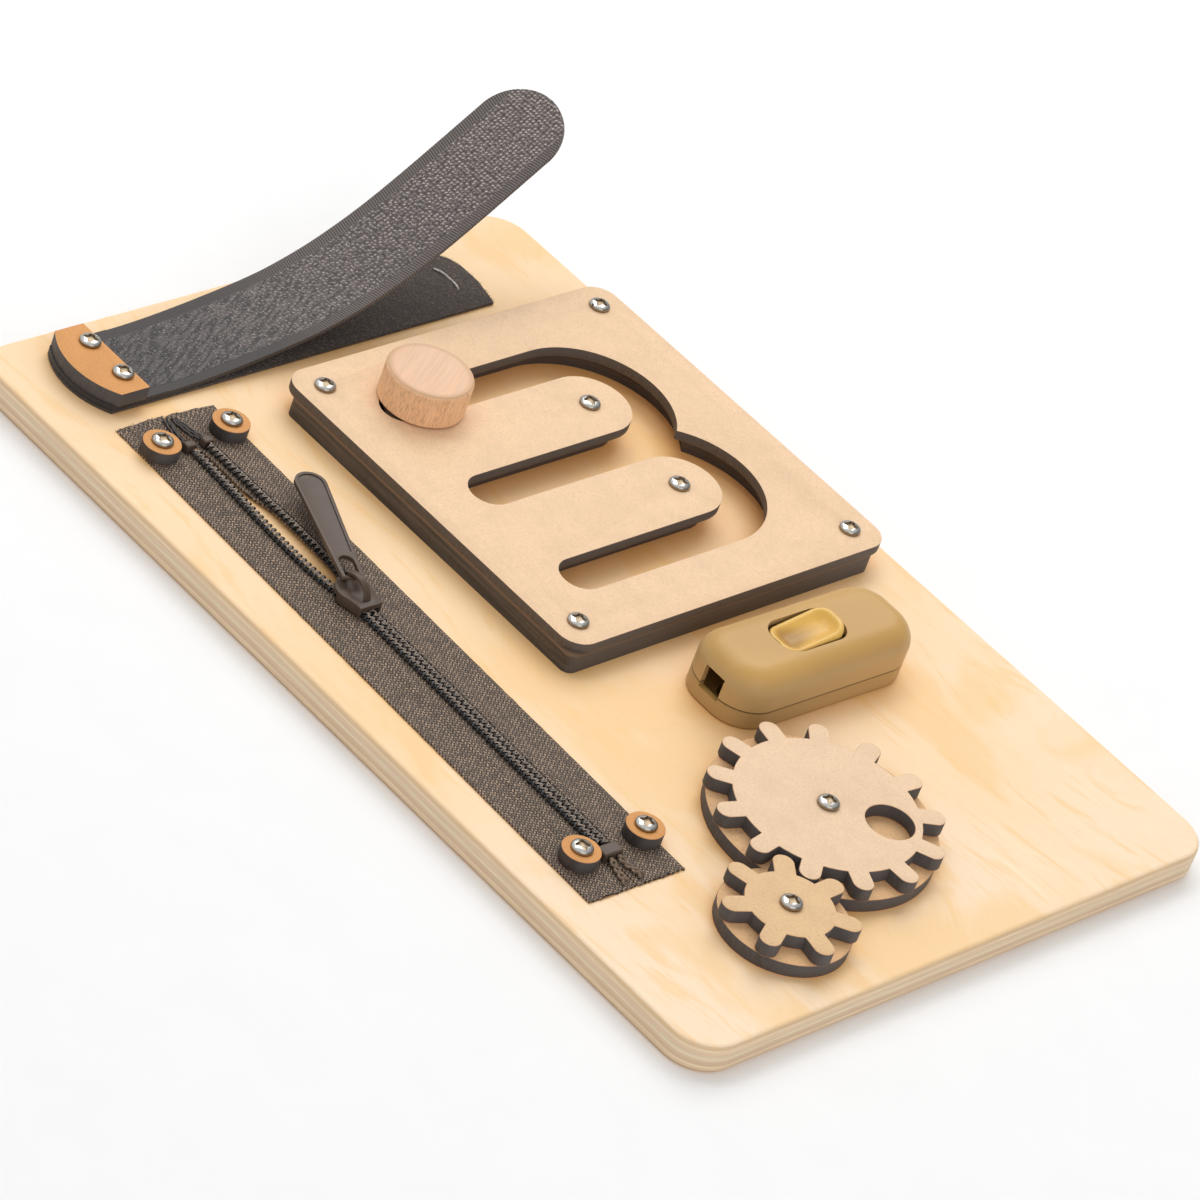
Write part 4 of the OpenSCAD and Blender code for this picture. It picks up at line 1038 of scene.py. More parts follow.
def grow_screws(node, body, material, tree, look):
    """Screws with a cross recess at the places of a CAD node's screws."""
    solids = islands(node)
    low, high = solids[0]
    places = [((lo.x + hi.x) / 2, (lo.y + hi.y) / 2, hi.z - SCREW_HEAD_H) for lo, hi in solids]
    shank = places[0][2] - low.z
    shape = screw_shape(high.x - low.x, SCREW_HEAD_H, SCREW_SHANK_D, shank)
    values = {"Turn": look.cross_turn, "Seed": look.seed}
    piece = grow_on(node + "_cross", points_mesh(node, places), shape, tree, values, material)
    smooth(piece.data, 35)
    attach(piece, body)
    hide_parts(node)


# ---- rocker -------------------------------------------------------------

# Millimetres. Each step of the dish is its distance inside the outline and its drop below the top.
ROCKER_WIDE = 12.4
ROCKER_LONG = 22.8
ROCKER_REACH = 11.9
ROCKER_RISE = 5.6
ROCKER_SAG = 1.9
ROCKER_SKIRT = 3.0
ROCKER_CORNER = 5.2
ROCKER_LEAST_CORNER = 0.35
DISH = (
    (0.0, 1.5), (0.1, 1.0), (0.3, 0.55), (0.6, 0.22), (0.95, 0.04), (1.3, 0.0), (1.7, 0.08), (2.2, 0.34),
    (2.8, 0.64), (3.5, 0.94), (4.3, 1.18), (5.1, 1.3), (5.8, 1.34),
)
BORE_RADIUS = 1.0
BORE_LONG = 20.0

CORNER_STEPS = 12
ROCKER_LEAN = math.radians(8)
HOUSING_TURN = math.radians(-1.3)


def rocker_ring(inset):
    """The rocker's outline drawn in by a distance, as points in millimetres."""
    corner = max(ROCKER_LEAST_CORNER, ROCKER_CORNER - inset)
    half_x, half_y = ROCKER_WIDE / 2 - inset - corner, ROCKER_LONG / 2 - inset - corner
    points = []
    for quarter, (sx, sy) in enumerate(((1, 1), (-1, 1), (-1, -1), (1, -1))):
        for step in range(CORNER_STEPS + 1):
            angle = math.pi / 2 * (quarter + step / CORNER_STEPS)
            x = sx * max(0.0, half_x) + corner * math.cos(angle)
            points.append((x, sy * half_y + corner * math.sin(angle)))
    return points


def rocker_top(y):
    """Height of the hollowed top above the axle at a distance along the rocker."""
    scoop_r = (ROCKER_REACH**2 + ROCKER_SAG**2) / (2 * ROCKER_SAG)
    scoop = ROCKER_RISE - ROCKER_SAG + scoop_r - math.sqrt(scoop_r**2 - y * y)
    return min(scoop, math.sqrt(ROCKER_REACH**2 - y * y))


def rocker_shell(place):
    """The closed shell of the rocker in its place: a dished top inside a rounded lip."""
    points = [(x, y, -ROCKER_SKIRT) for x, y in rocker_ring(0.0)]
    for inset, drop in DISH:
        points += [(x, y, rocker_top(y) - drop) for x, y in rocker_ring(inset)]
    around = len(rocker_ring(0.0))
    faces = [tuple(reversed(range(around)))] + walls(len(DISH) + 1, around)
    faces.append(tuple(len(DISH) * around + i for i in range(around)))
    solid = bmesh.new()
    made = [solid.verts.new([value * MM for value in point]) for point in points]
    for face in faces:
        solid.faces.new([made[i] for i in face])
    bmesh.ops.remove_doubles(solid, verts=solid.verts, dist=MERGED_WITHIN)
    bmesh.ops.recalc_face_normals(solid, faces=solid.faces)
    solid.transform(place)
    return finished_mesh(solid, "rocker_body")


def bore_shape(place):
    """The round bar that the axle's bore is cut with."""
    bar = bmesh.new()
    lying = place @ Matrix.Rotation(math.radians(90), 4, "Y")
    size = {"radius1": BORE_RADIUS * MM, "radius2": BORE_RADIUS * MM, "depth": BORE_LONG * MM}
    bmesh.ops.create_cone(bar, cap_ends=True, segments=32, matrix=lying, **size)
    return finished_mesh(bar, "rocker_bore")


def build_rocker(material):
    """The rocker, cut through for its axle."""
    tilt = Matrix.Rotation(HOUSING_TURN, 4, "Z") @ Matrix.Rotation(ROCKER_LEAN, 4, "X")
    place = Matrix.Translation(JOINTS["rocker_tilt"]["pos_m"]) @ tilt
    shell = rocker_shell(place)
    cutter = add_piece("rocker_bore", bore_shape(place), material)
    piece = add_piece("rocker_dished", shell, material)
    cut = piece.modifiers.new("bore", "BOOLEAN")
    cut.operation = "DIFFERENCE"
    cut.object = cutter
    smooth(settle(piece, cut), 48)
    bpy.data.objects.remove(cutter)
    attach(piece, "rocker")
    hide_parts("rocker")


# ---- strap --------------------------------------------------------------

STRAP_X = (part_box("strap_1")[0][0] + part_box("strap_1")[1][0]) / 2
STRAP_COLUMNS = 24
STRAP_CROWN = 0.16 * MM
ROOT_FLAT = 12 * MM
TIP_CURL = 1.25
TIP_BLUNT = 0.05 * MM
BEND_STEPS = 18


def strap_folds():
    """The strap's folds as (y, z) points, the way its tip points from the last one, and how far."""
    peel_joints = [joint for joint in frame["joints"] if joint["name"].startswith("strap_peel")]
    folds = [Vector(joint["pos_m"][1:]) for joint in peel_joints]
    end = max((v.co for v in frame["nodes"]["strap_5"].data.vertices), key=lambda p: p.y + p.z)
    lean = (folds[-1] - folds[-2]).normalized()
    angle = TIP_CURL * math.atan2(lean.y, lean.x)
    way = Vector((math.cos(angle), math.sin(angle)))
    reach = (Vector((end.y, end.z)) - folds[-1]).dot(way)
    return folds, way, reach


def strap_line(first, corner, last, steps):
    """Points and directions on the curve that leaves first and reaches last, pulled to corner."""
    out = []
    for i in range(steps + 1):
        t = i / steps
        place = first * (1 - t) ** 2 + corner * 2 * t * (1 - t) + last * t * t
        way = ((corner - first) * (1 - t) + (last - corner) * t).normalized()
        out.append((place, way))
    return out


def strap_section(thick):
    """Once round the strap's cross-section: the share of its half width and the height, crowned above."""
    columns = range(STRAP_COLUMNS + 1)
    upper = [2 * column / STRAP_COLUMNS - 1 for column in columns]
    lower = [1 - 2 * column / STRAP_COLUMNS for column in columns]
    section = []
    for across in upper:
        bead = STRAP_CROWN * math.cos(math.pi * across * 0.5)
        section.append((across, thick / 2 - STRAP_CROWN + bead))
    return section + [(across, -thick / 2) for across in lower]


def ribbon(name, line, half_at, thick, material, run):
    """A strap stretch along a (place, way) line in the YZ plane, from a length along the strap on."""
    section = strap_section(thick)
    points, plan = [], []
    for row, (place, way) in enumerate(line):
        if row:
            run += (place - line[row - 1][0]).length
        normal = Vector((-way.y, way.x))
        half = half_at(run)
        for across, lift in section:
            offset = normal * lift
            points.append((STRAP_X + across * half, place.x + offset.x, place.y + offset.y))
            plan.append((across * half, run))
    ring = len(section)
    faces = walls(len(line), ring)
    faces.append(tuple(reversed(range(ring))))
    faces.append(tuple((len(line) - 1) * ring + i for i in range(ring)))
    mesh = bpy.data.meshes.new(name)
    mesh.from_pydata(points, [], faces)
    lay_plan(mesh, plan)
    piece = add_piece(name, mesh, material)
    smooth(mesh, 40)
    return piece, run


def strap_end(cut_at, run, material):
    """The flat stretch, cut from the solid that follows the bar's outline."""
    solid = merged("strap_root")
    cut_off(solid, (0, cut_at, 0), (0, 1, 0))
    bmesh.ops.recalc_face_normals(solid, faces=solid.faces)
    mesh = finished_mesh(solid, "strap_root_cloth")
    lay_plan(mesh, [(v.co.x - STRAP_X, v.co.y - cut_at + run) for v in mesh.vertices])
    piece = add_piece("strap_root_cloth", mesh, material)
    smooth(mesh, 40)
    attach(piece, "board")
    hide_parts("strap_root")
    return piece


def strap_tip(last, tip, way, half, thick, material, run):
    """The strap's last stretch, straight and with a round end."""
    start, left = run, (tip - last).length

    def half_at(at):
        from_end = left - (at - start)
        if from_end >= half:
            return half
        return math.sqrt(max(0.0, half * half - (half - from_end) ** 2)) + TIP_BLUNT

    shares = [i / 30 for i in range(16)]
    shares += [0.5 + 0.5 * math.sin(math.pi / 2 * i / 20) for i in range(1, 21)]
    line = [(last.lerp(tip, share), way) for share in shares]
    piece, _ = ribbon("strap_tip", line, half_at, thick, material, run)
    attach(piece, "strap_5")
    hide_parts("strap_5")


def build_strap(look):
    """The strap from its bar to its tip: each stretch bends across one fold."""
    folds, way, reach = strap_folds()
    low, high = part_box("strap_1")
    root_low, root_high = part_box("strap_root")
    half = (high[0] - low[0]) / 2
    thick = root_high[2] - root_low[2]
    material = woven_strap(look, half)
    stops = [Vector((folds[0].x - ROOT_FLAT, (root_low[2] + root_high[2]) / 2))]
    stops += [(a + b) / 2 for a, b in zip(folds, folds[1:])]
    stops.append(folds[-1] + way * (reach - half) * 0.5)
    run = stops[0].x - root_low[1]
    root = strap_end(stops[0].x, run, material)

    def even_half(_):
        return half

    bodies = ["board"] + [f"strap_{number}" for number in range(1, len(folds) + 1)]
    for number, fold in enumerate(folds, 1):
        line = strap_line(stops[number - 1], fold, stops[number], BEND_STEPS)
        piece, run = ribbon(f"strap_bend_{number}", line, even_half, thick, material, run)
        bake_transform(piece)
        if number < len(folds):
            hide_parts(bodies[number])
    strap_tip(stops[-1], folds[-1] + way * reach, way, half, thick, material, run)


# ---- zipper -------------------------------------------------------------

ZIP_WAY = Vector(JOINTS["zip_slide"]["axis"])
ZIP_SIDE = Vector((-ZIP_WAY.y, ZIP_WAY.x, 0))
ZIP_MIDDLE = Vector((-6 * MM, -69 * MM, 0))

# Millimetres along the zipper from its middle, beside it, or upwards.
SPLIT_FROM = -19.5
TOP_STOP = -86.5
BOTTOM_STOP = 88.2
SPLIT_HALF = 2.8
TAPE_HALF = 100.0
TAPE_WIDTH = 17.0
TAPE_FROM_MIDDLE = 0.25
TAPE_THICK = 0.55
TAPE_CLEAR = 0.02
TOOTH_FOOT = 0.3
TOOTH_CROWN = 1.9
TOOTH_REACH = 3.0

TAPE_ROWS = 150
TAPE_COLUMNS = 20
FRAY_YARNS = 62
TAIL_STEPS = 21
TAIL_CURL = 24


def zip_point(along, aside, height):
    """A place in millimetres along, beside and above the zipper, as a point of the board."""
    return ZIP_MIDDLE + ZIP_WAY * along * MM + ZIP_SIDE * aside * MM + Vector((0, 0, height * MM))


def split(x):
    """Half gap between the parted rows of teeth, in millimetres."""
    t = (SPLIT_FROM - x) / (SPLIT_FROM - TOP_STOP)
    if t <= 0:
        return 0.0
    c = min(t, 1.0)
    fade = min(1.0, max(0.0, 5 - 4 * t))
    return SPLIT_HALF * (math.sin(math.pi * c**0.6) * (1 - 0.5 * c) + 0.6 * c * fade)


def eased(value, low, high):
    """0 up to low, 1 from high on, and a smooth rise between."""
    t = min(1.0, max(0.0, (value - low) / (high - low)))
    return t * t * (3 - 2 * t)


def closing(x):
    """Share of the gap that the cloth leaves open: it closes again towards the top stops."""
    return 0.12 + 0.88 * eased(x, -68.0, -54.0)


def rise(aside):
    """Height of the cloth's underside above the board at a distance from the gap, millimetres."""
    return 0.65 - 0.63 * eased(aside, 6.8, 9.4)


def lie_down(x):
    """0 where the tape is flat at its ends, 1 where it rides over the slider's wing."""
    return eased(TAPE_HALF - abs(x), 13.0, 19.0)


def cut_slant(end, side, t):
    """How far a tape's cut end reaches beyond its plain length: the upper cuts slant, in millimetres."""
    if end > 0:
        return 0.0
    inner, outer = (1.2, 0.5) if side > 0 else (1.6, 0.5)
    return -(inner + (outer - inner) * t)


def tape_cut(end, side, t, y, row):
    """How far a tape's cut end reaches at one spot: its slant and the waver of its threads."""
    waver = 0.7 * noise.noise(Vector((y * 0.5, side * 3.0, row)))
    waver += 0.4 * noise.noise(Vector((y * 1.9, side, row)))
    return cut_slant(end, side, t) + waver


def tape_point(side, row, layer, t):
    """A spot of a tape as a point of the board, and where it lies in the flat cloth."""
    end = 2 * row / TAPE_ROWS - 1
    x = end * TAPE_HALF
    inner = TAPE_FROM_MIDDLE + split(x) * closing(x)
    y = inner + (TAPE_WIDTH - inner) * t
    cut = tape_cut(end, side, t, y, row) if row in (0, TAPE_ROWS) else 0.0
    waver = 0.12 * noise.noise(Vector((x * 0.35, side * 9.0, 0.0))) * t
    height = BOARD_TOP / MM + rise(y - split(x)) * lie_down(x) + TAPE_CLEAR + TAPE_THICK * layer
    height += 0.05 * noise.noise(Vector((x * 0.12, y * 0.2, side)))
    place = zip_point(x + cut, side * (y + waver), height)
    return tuple(place), (side * y * MM, x * MM)


def build_tape(side, node, material):
    """One woven tape as a thin sheet: straight outside, following the teeth inside."""
    shares = [column / TAPE_COLUMNS for column in range(TAPE_COLUMNS + 1)]
    section = [(1, t) for t in shares] + [(0, t) for t in reversed(shares)]
    points, plan = [], []
    for row in range(TAPE_ROWS + 1):
        for layer, t in section:
            place, spot = tape_point(side, row, layer, t)
            points.append(place)
            plan.append(spot)
    ring = len(section)
    faces = walls(TAPE_ROWS + 1, ring, flip=True)
    faces.append(tuple(range(ring)))
    faces.append(tuple(TAPE_ROWS * ring + i for i in reversed(range(ring))))
    if side < 0:
        faces = [tuple(reversed(face)) for face in faces]
    mesh = bpy.data.meshes.new(node + "_cloth")
    mesh.from_pydata(points, [], faces)
    lay_plan(mesh, plan)
    piece = add_piece(node + "_cloth", mesh, material)
    smooth(mesh, 50)
    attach(piece, "board")
    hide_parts(node)


def tube(path, radius, sides, hint=Vector((0, 0, 1))):
    """Vertices and faces of a closed tube along a list of points that bend away from the hint."""
    points = []
    for i, place in enumerate(path):
        before = path[max(0, i - 1)]
        after = path[min(len(path) - 1, i + 1)]
        way = (after - before).normalized()
        side = (hint - way * hint.dot(way)).normalized()
        up = side.cross(way)
        for k in range(sides):
            angle = 2 * math.pi * k / sides
            points.append(place + side * math.cos(angle) * radius + up * math.sin(angle) * radius)
    last = (len(path) - 1) * sides
    faces = walls(len(path), sides)
    faces.append(tuple(reversed(range(sides))))
    faces.append(tuple(last + k for k in range(sides)))
    return points, faces


def closed_mesh(name, parts):
    """One mesh of several (points, faces) shells, with its faces turned outwards."""
    solid = bmesh.new()
    for points, faces in parts:
        made = [solid.verts.new(place) for place in points]
        for face in faces:
            solid.faces.new([made[i] for i in face])
    bmesh.ops.recalc_face_normals(solid, faces=solid.faces)
    return finished_mesh(solid, name)


def tooth_shape(look, side):
    """One turn of the wound filament, drawn along the zipper's own directions."""
    r = look.filament_width / 2
    low, high = TOOTH_FOOT + r / MM, TOOTH_CROWN - r / MM
    middle = (low + high) / 2
    outer = TOOTH_REACH - r / MM
    turns = [(outer - 0.2, low, -0.5), (1.2, low, -0.25), (0.0, low, -0.06), (r / MM - 0.75, middle, 0.0)]
    turns += [(0.1, high, 0.05), (1.2, high, 0.1), (outer - 0.45, high - 0.03, 0.2)]
    turns += [(outer, middle + 0.1, 0.34), (outer - 0.2, low, 0.5)]
    path = []
    for aside, up, share in turns:
        along = ZIP_WAY * share * look.tooth_pitch
        path.append(along + ZIP_SIDE * aside * MM * side + Vector((0, 0, up * MM)))
    return closed_mesh("tooth", [tube(path, r, sides=6, hint=ZIP_WAY)])


def stitch_shape(look, side):
    """The thread over one tooth: a V that opens away from the gap, and a run along the row."""
    top = TOOTH_CROWN * MM + look.thread_width * 0.1

    def at(along, aside, up=0.0):
        over = Vector((0, 0, top + up * MM))
        return ZIP_WAY * along * look.tooth_pitch + ZIP_SIDE * aside * MM * side + over

    crossing = [at(-0.52, 1.95, -0.3), at(-0.3, 1.45), at(-0.06, 0.5, -0.05), at(0.1, 0.42, -0.12)]
    crossing += [at(0.3, 1.2), at(0.46, 1.85, -0.3)]
    line = [at(-0.5, 1.42), at(0.0, 1.3, 0.1), at(0.5, 1.42)]
    r = look.thread_width / 2
    return closed_mesh("stitch", [tube(crossing, r, sides=4), tube(line, r * 0.9, sides=4)])


def coil_places(side, node, look):
    """The place of each tooth of one row: the near row stands half a pitch behind the far one."""
    pitch = look.tooth_pitch / MM
    coil_from = TOP_STOP + 2.3 + (pitch / 2 if side < 0 else 0.0)
    count = int((BOTTOM_STOP - 1.2 - coil_from) / pitch)
    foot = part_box(node)[0][2] / MM - TOOTH_FOOT
    rows = [coil_from + i * pitch for i in range(count)]
    return [zip_point(x, side * split(x), foot) for x in rows]


def build_coil(side, node, look, filament, thread):
    """A row of teeth along the edge of one tape, and the thread that sews it down."""
    places = coil_places(side, node, look)
    tree = repeat_tree(node + "_tree", filament)
    bed = points_mesh(node, places)
    teeth = grow_on(node + "_teeth", bed, tooth_shape(look, side), tree, {}, filament)
    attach(teeth, "board")
    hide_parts(node)
    tree = repeat_tree(node + "_sewing", thread)
    bed = points_mesh(node, places)
    values = {"Vary": 0.06}
    sewing = grow_on(node + "_stitches", bed, stitch_shape(look, side), tree, values, thread)
    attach(sewing, "board")


TOP_TAILS = [
    [(-88.3, -3.9), (-92.0, -3.5), (-96.0, -2.4), (-99.3, -1.7)],
    [(-88.3, -3.0), (-92.0, -2.2), (-96.0, -1.3), (-98.9, -0.8)],
    [(-88.3, -2.1), (-91.5, -1.5), (-95.0, -0.9), (-98.0, -0.3)],
    [(-88.2, 3.9), (-91.5, 3.8), (-95.0, 3.1), (-99.0, 2.1)],
    [(-88.2, 3.0), (-92.0, 2.7), (-96.0, 1.9), (-99.4, 1.2)],
    [(-88.2, 2.1), (-91.5, 1.6), (-95.0, 1.1), (-98.3, 0.6)],
]
BOTTOM_TAILS = [
    [(90.4, -1.9), (93.0, -2.2), (95.8, -3.0), (98.8, -3.6)],
    [(90.4, -1.0), (93.0, -1.3), (95.8, -1.9), (98.2, -2.2)],
    [(90.4, 1.0), (93.0, 1.4), (95.8, 2.2), (98.6, 2.6)],
    [(90.4, 1.9), (93.0, 2.3), (95.8, 3.2), (97.8, 3.9)],
]


def along_strand(strand, share):
    """The (along, aside) place at a share of a strand's points."""
    spot = share * (len(strand) - 1)
    first = min(int(spot), len(strand) - 2)
    a, b = strand[first], strand[first + 1]
    t = spot - first
    return a[0] + (b[0] - a[0]) * t, a[1] + (b[1] - a[1]) * t


def build_tails(name, strands, material, radius, weave):
    """Loose ends beyond the stops, each curling a little round its neighbour."""
    floor = BOARD_TOP / MM + 0.62 + radius
    parts = []
    for number, strand in enumerate(strands):
        path = []
        for step in range(TAIL_STEPS + 1):
            share = step / TAIL_STEPS
            along, aside = along_strand(strand, share)
            curl = share * TAIL_CURL + math.pi * (number % 2)
            lift = 0.9 * (1 - min(1.0, share * 3.0)) + weave * (0.5 + 0.5 * math.cos(curl))
            path.append(zip_point(along, aside + weave * math.sin(curl), floor + lift))
        parts.append(tube(path, radius * MM, sides=6))
    piece = add_piece(name, closed_mesh(name, parts), material)
    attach(piece, "board")


def yarn_shape(length, radius, rise_by, way):
    """One short bent fibre that starts at the origin."""
    path = []
    for i in range(4):
        t = i / 3
        bow = Vector((-way.y, way.x, 0)) * 0.22 * length * math.sin(math.pi * t)
        lift = Vector((0, 0, rise_by * math.sin(math.pi * (0.1 + 0.8 * t))))
        path.append(way * length * t + bow + lift)
    return closed_mesh("yarn", [tube(path, radius, sides=3)])


def fray_places(end):
    """Where the loose yarns start along one cut end, either side of the teeth."""
    places = []
    for step in range(FRAY_YARNS):
        aside = -TAPE_WIDTH + 2 * TAPE_WIDTH * step / (FRAY_YARNS - 1)
        if abs(aside) < 2.6:
            continue
        height = BOARD_TOP / MM + 0.2 + 0.3 * (step % 2)
        slant = cut_slant(end, aside, abs(aside) / TAPE_WIDTH)
        places.append(zip_point(end * (TAPE_HALF - 0.45) + slant, aside, height))
    return places


def fray_tape_ends(material):
    """Loose yarns along the four cut ends of the tapes."""
    spread = math.radians(80)
    for end, name in ((-1, "zip_fray_top"), (1, "zip_fray_bottom")):
        places = fray_places(end)
        turn = Matrix.Rotation(-spread / 2, 3, "Z")
        yarn = {"length": 1.05 * MM, "radius": 0.1 * MM, "rise_by": 0.12 * MM}
        shape = yarn_shape(way=turn @ (ZIP_WAY * end), **yarn)
        tree = repeat_tree(f"fray_{end}", material)
        values = {"Turn": spread, "Lean": 0.25, "Vary": 0.55, "Seed": 11 + end}
        piece = grow_on(name, points_mesh(name, places), shape, tree, values, material)
        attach(piece, "board")


# ---- loop strip ---------------------------------------------------------

# Corners of the strip's far end, each as its distance from the strip's side and from its far edge.
STRIP_INSET = 0.3 * MM
STRIP_LEFT_END = [(10.0 * MM, 0.4 * MM), (7.0 * MM, 1.4 * MM), (3.4 * MM, 4.6 * MM), (0.3 * MM, 9.0 * MM)]
STRIP_RIGHT_END = [(0.3 * MM, 2.3 * MM), (8.0 * MM, 0.4 * MM)]

# Start, pull and end of the thread's bow in millimetres.
STRAY_THREAD = ((-132.3, 56.3), (-127.3, 59.6), (-121.6, 56.8))


def round_strip_end(mesh):
    """Trims the far corners of the strip, so that its end is slightly rounded."""
    low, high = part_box("loop_strip")
    solid = bmesh.new()
    solid.from_mesh(mesh)
    left = [(low.x + x, high.y - y) for x, y in STRIP_LEFT_END]
    right = [(high.x - x, high.y - y) for x, y in STRIP_RIGHT_END]
    for a, b in list(zip(left, left[1:])) + list(zip(right, right[1:])):
        along = Vector((b[0] - a[0], b[1] - a[1], 0))
        out = Vector((along.y, -along.x, 0)).normalized()
        if out.y < 0:
            out = -out
        cut_off(solid, (a[0], a[1], 0), out)
    bmesh.ops.recalc_face_normals(solid, faces=solid.faces)
    solid.to_mesh(mesh)
    solid.free()
    smooth(mesh)


def strip_outline():
    """The free part of the strip, drawn in a little at its long sides, and cornered as its end is."""
    low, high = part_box("loop_strip")
    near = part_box("strap_1")[0].y - 8 * MM
    outline = [(low.x + STRIP_INSET, near), (high.x - STRIP_INSET, near)]
    outline += [(high.x - x, high.y - y) for x, y in STRIP_RIGHT_END]
    return outline + [(low.x + x, high.y - y) for x, y in STRIP_LEFT_END]


def grow_pile(look, fibre):
    """Brushed loops all over the strip."""
    outline = strip_outline()
    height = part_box("loop_strip")[1].z - 0.05 * MM
    bed = bpy.data.meshes.new("pile_bed")
    bed.from_pydata([(x, y, height) for x, y in outline], [], [tuple(range(len(outline)))])
    yarn = {"length": 1.2 * MM, "radius": 0.055 * MM, "rise_by": 0.3 * MM}
    shape = yarn_shape(way=Vector((1, 0, 0)), **yarn)
    values = {"Turn": 2 * math.pi, "Lean": 0.12, "Vary": 0.5, "Seed": 3, "Density": look.pile_density}
    fuzz = grow_on("loop_pile", bed, shape, scatter_tree("pile_tree", fibre), values, fibre)
    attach(fuzz, "board")


def fringe_places():
    """Places of the loose fibres along the strip's sides, and closer along its cut end."""
    low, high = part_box("loop_strip")
    middle = (low.z + high.z) / 2
    bar_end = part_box("strap_bar")[1].y
    pitch, end_pitch = 0.42 * MM, 0.22 * MM
    places = []
    for step in range(int((high.y - bar_end) / pitch)):
        y = bar_end + step * pitch
        if y < high.y - STRIP_LEFT_END[-1][1]:
            places.append((low.x + STRIP_INSET, y, middle))
        if y < high.y - STRIP_RIGHT_END[0][1]:
            places.append((high.x - STRIP_INSET, y, middle))
    cut_end = strip_outline()[2:]
    for a, b in zip(cut_end, cut_end[1:]):
        count = max(1, int(math.dist(a, b) / end_pitch))
        for step in range(count):
            t = step / count
            x, y = a[0] + (b[0] - a[0]) * t, a[1] + (b[1] - a[1]) * t
            places.append((x, y, middle + 0.2 * MM * (step % 3 - 1)))
    return places


def grow_fringe(fibre):
    """Loose fibres along the strip's edges."""
    yarn = {"length": 1.0 * MM, "radius": 0.06 * MM, "rise_by": 0.12 * MM}
    shape = yarn_shape(way=Vector((1, 0, 0)), **yarn)
    values = {"Turn": 2 * math.pi, "Lean": 0.3, "Vary": 0.5, "Seed": 8}
    bed = points_mesh("loop_fringe", fringe_places())
    fringe = grow_on("loop_fringe", bed, shape, repeat_tree("fringe_tree", fibre), values, fibre)
    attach(fringe, "board")


def lay_stray_thread(look):
    """A pale thread in a shallow bow on the brushed loops."""
    start, middle, end = (Vector(place) for place in STRAY_THREAD)
    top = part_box("loop_strip")[1].z
    path = []
    for i in range(15):
        t = i / 14
        at = start * (1 - t) ** 2 + middle * 2 * t * (1 - t) + end * t * t
        path.append(Vector((at.x * MM, at.y * MM, top + (0.32 + 0.15 * math.sin(9 * t)) * MM)))
    thread = nylon("stray_thread", look.stray, roughness=0.6)
    mesh = closed_mesh("stray_thread", [tube(path, radius=0.34 * MM, sides=8)])
    piece = add_piece("stray_thread", mesh, thread)
    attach(piece, "board")


def build_loop_strip(look):
    """The lower strip with its brushed loops, and a pale thread caught on them."""
    pile = brushed_loops(look)
    fibre = nylon("loop_fibre", look.fibre, roughness=0.8)
    strip = eased_copy("loop_strip", "board", pile, 0.3 * MM)
    round_strip_end(strip.data)
    grow_pile(look, fibre)
    grow_fringe(fibre)
    lay_stray_thread(look)


# ---- operators ----------------------------------------------------------

CAMERA_LENS = 185.67
CAMERA_PLACE = (0.778, -1.1173, 0.9679)
CAMERA_RIGHT = (0.6491, 0.702, 0.293)
CAMERA_UP = (-0.601, 0.2371, 0.7633)
FLOOR_WIDE = 30.0
FLOOR_GAP = 0.1 * MM
GLINT_WAY = Vector((-0.47, -0.16, 0.87)).normalized()
LAMPS = (
    ("key_lamp", "key_power", Vector((-0.9, 0.9, 1.6)), 1.6),
    ("fill_lamp", "fill_power", Vector((1.4, -0.6, 1.1)), 1.4),
    ("glint_lamp", "glint_power", GLINT_WAY * 1.7, 0.45),
)


class BUSY_OT_camera(bpy.types.Operator):
    """Set the camera at the board's near right-hand corner, looking down at it"""

    bl_idname = "busy_board.camera"
    bl_label = "Camera"

    def execute(self, context):
        data = bpy.data.cameras.new("camera")
        data.sensor_width = 36.0
        data.lens = CAMERA_LENS
        data.clip_end = 20.0
        camera = bpy.data.objects.new("camera", data)
        right = Vector(CAMERA_RIGHT)
        back = right.cross(Vector(CAMERA_UP)).normalized()
        up = back.cross(right).normalized()
        turn = Matrix((right.normalized(), up, back)).transposed().to_4x4()
        camera.matrix_world = Matrix.Translation(CAMERA_PLACE) @ turn
        context.scene.collection.objects.link(camera)
        context.scene.camera = camera
        return {"FINISHED"}


class BUSY_OT_panel(bpy.types.Operator):
    """Give the plywood panel its birch faces and its plies"""

    bl_idname = "busy_board.panel"
    bl_label = "Plywood panel"

    def execute(self, context):
        paint_node("base_board", birch_plywood(context.scene.busy_wood))
        return {"FINISHED"}


class BUSY_OT_maze(bpy.types.Operator):
    """Finish the maze plate, its spacers and the knob that runs in it"""

    bl_idname = "busy_board.maze"
    bl_label = "Maze and knob"

    def execute(self, context):
        look = context.scene.busy_wood
        plate = fibreboard("plate_board", look.fibreboard, look.brown_char, look, freckles=0.12)
        eased_copy("maze_plate", "board", plate, look.ease)
        dark = charred_board(look)
        paint_node("maze_spacer_left", dark)
        paint_node("maze_spacer_right", dark)
        paint_node("knob_guide", plate)
        paint_node("knob_cap", turned_beech(look))
        return {"FINISHED"}


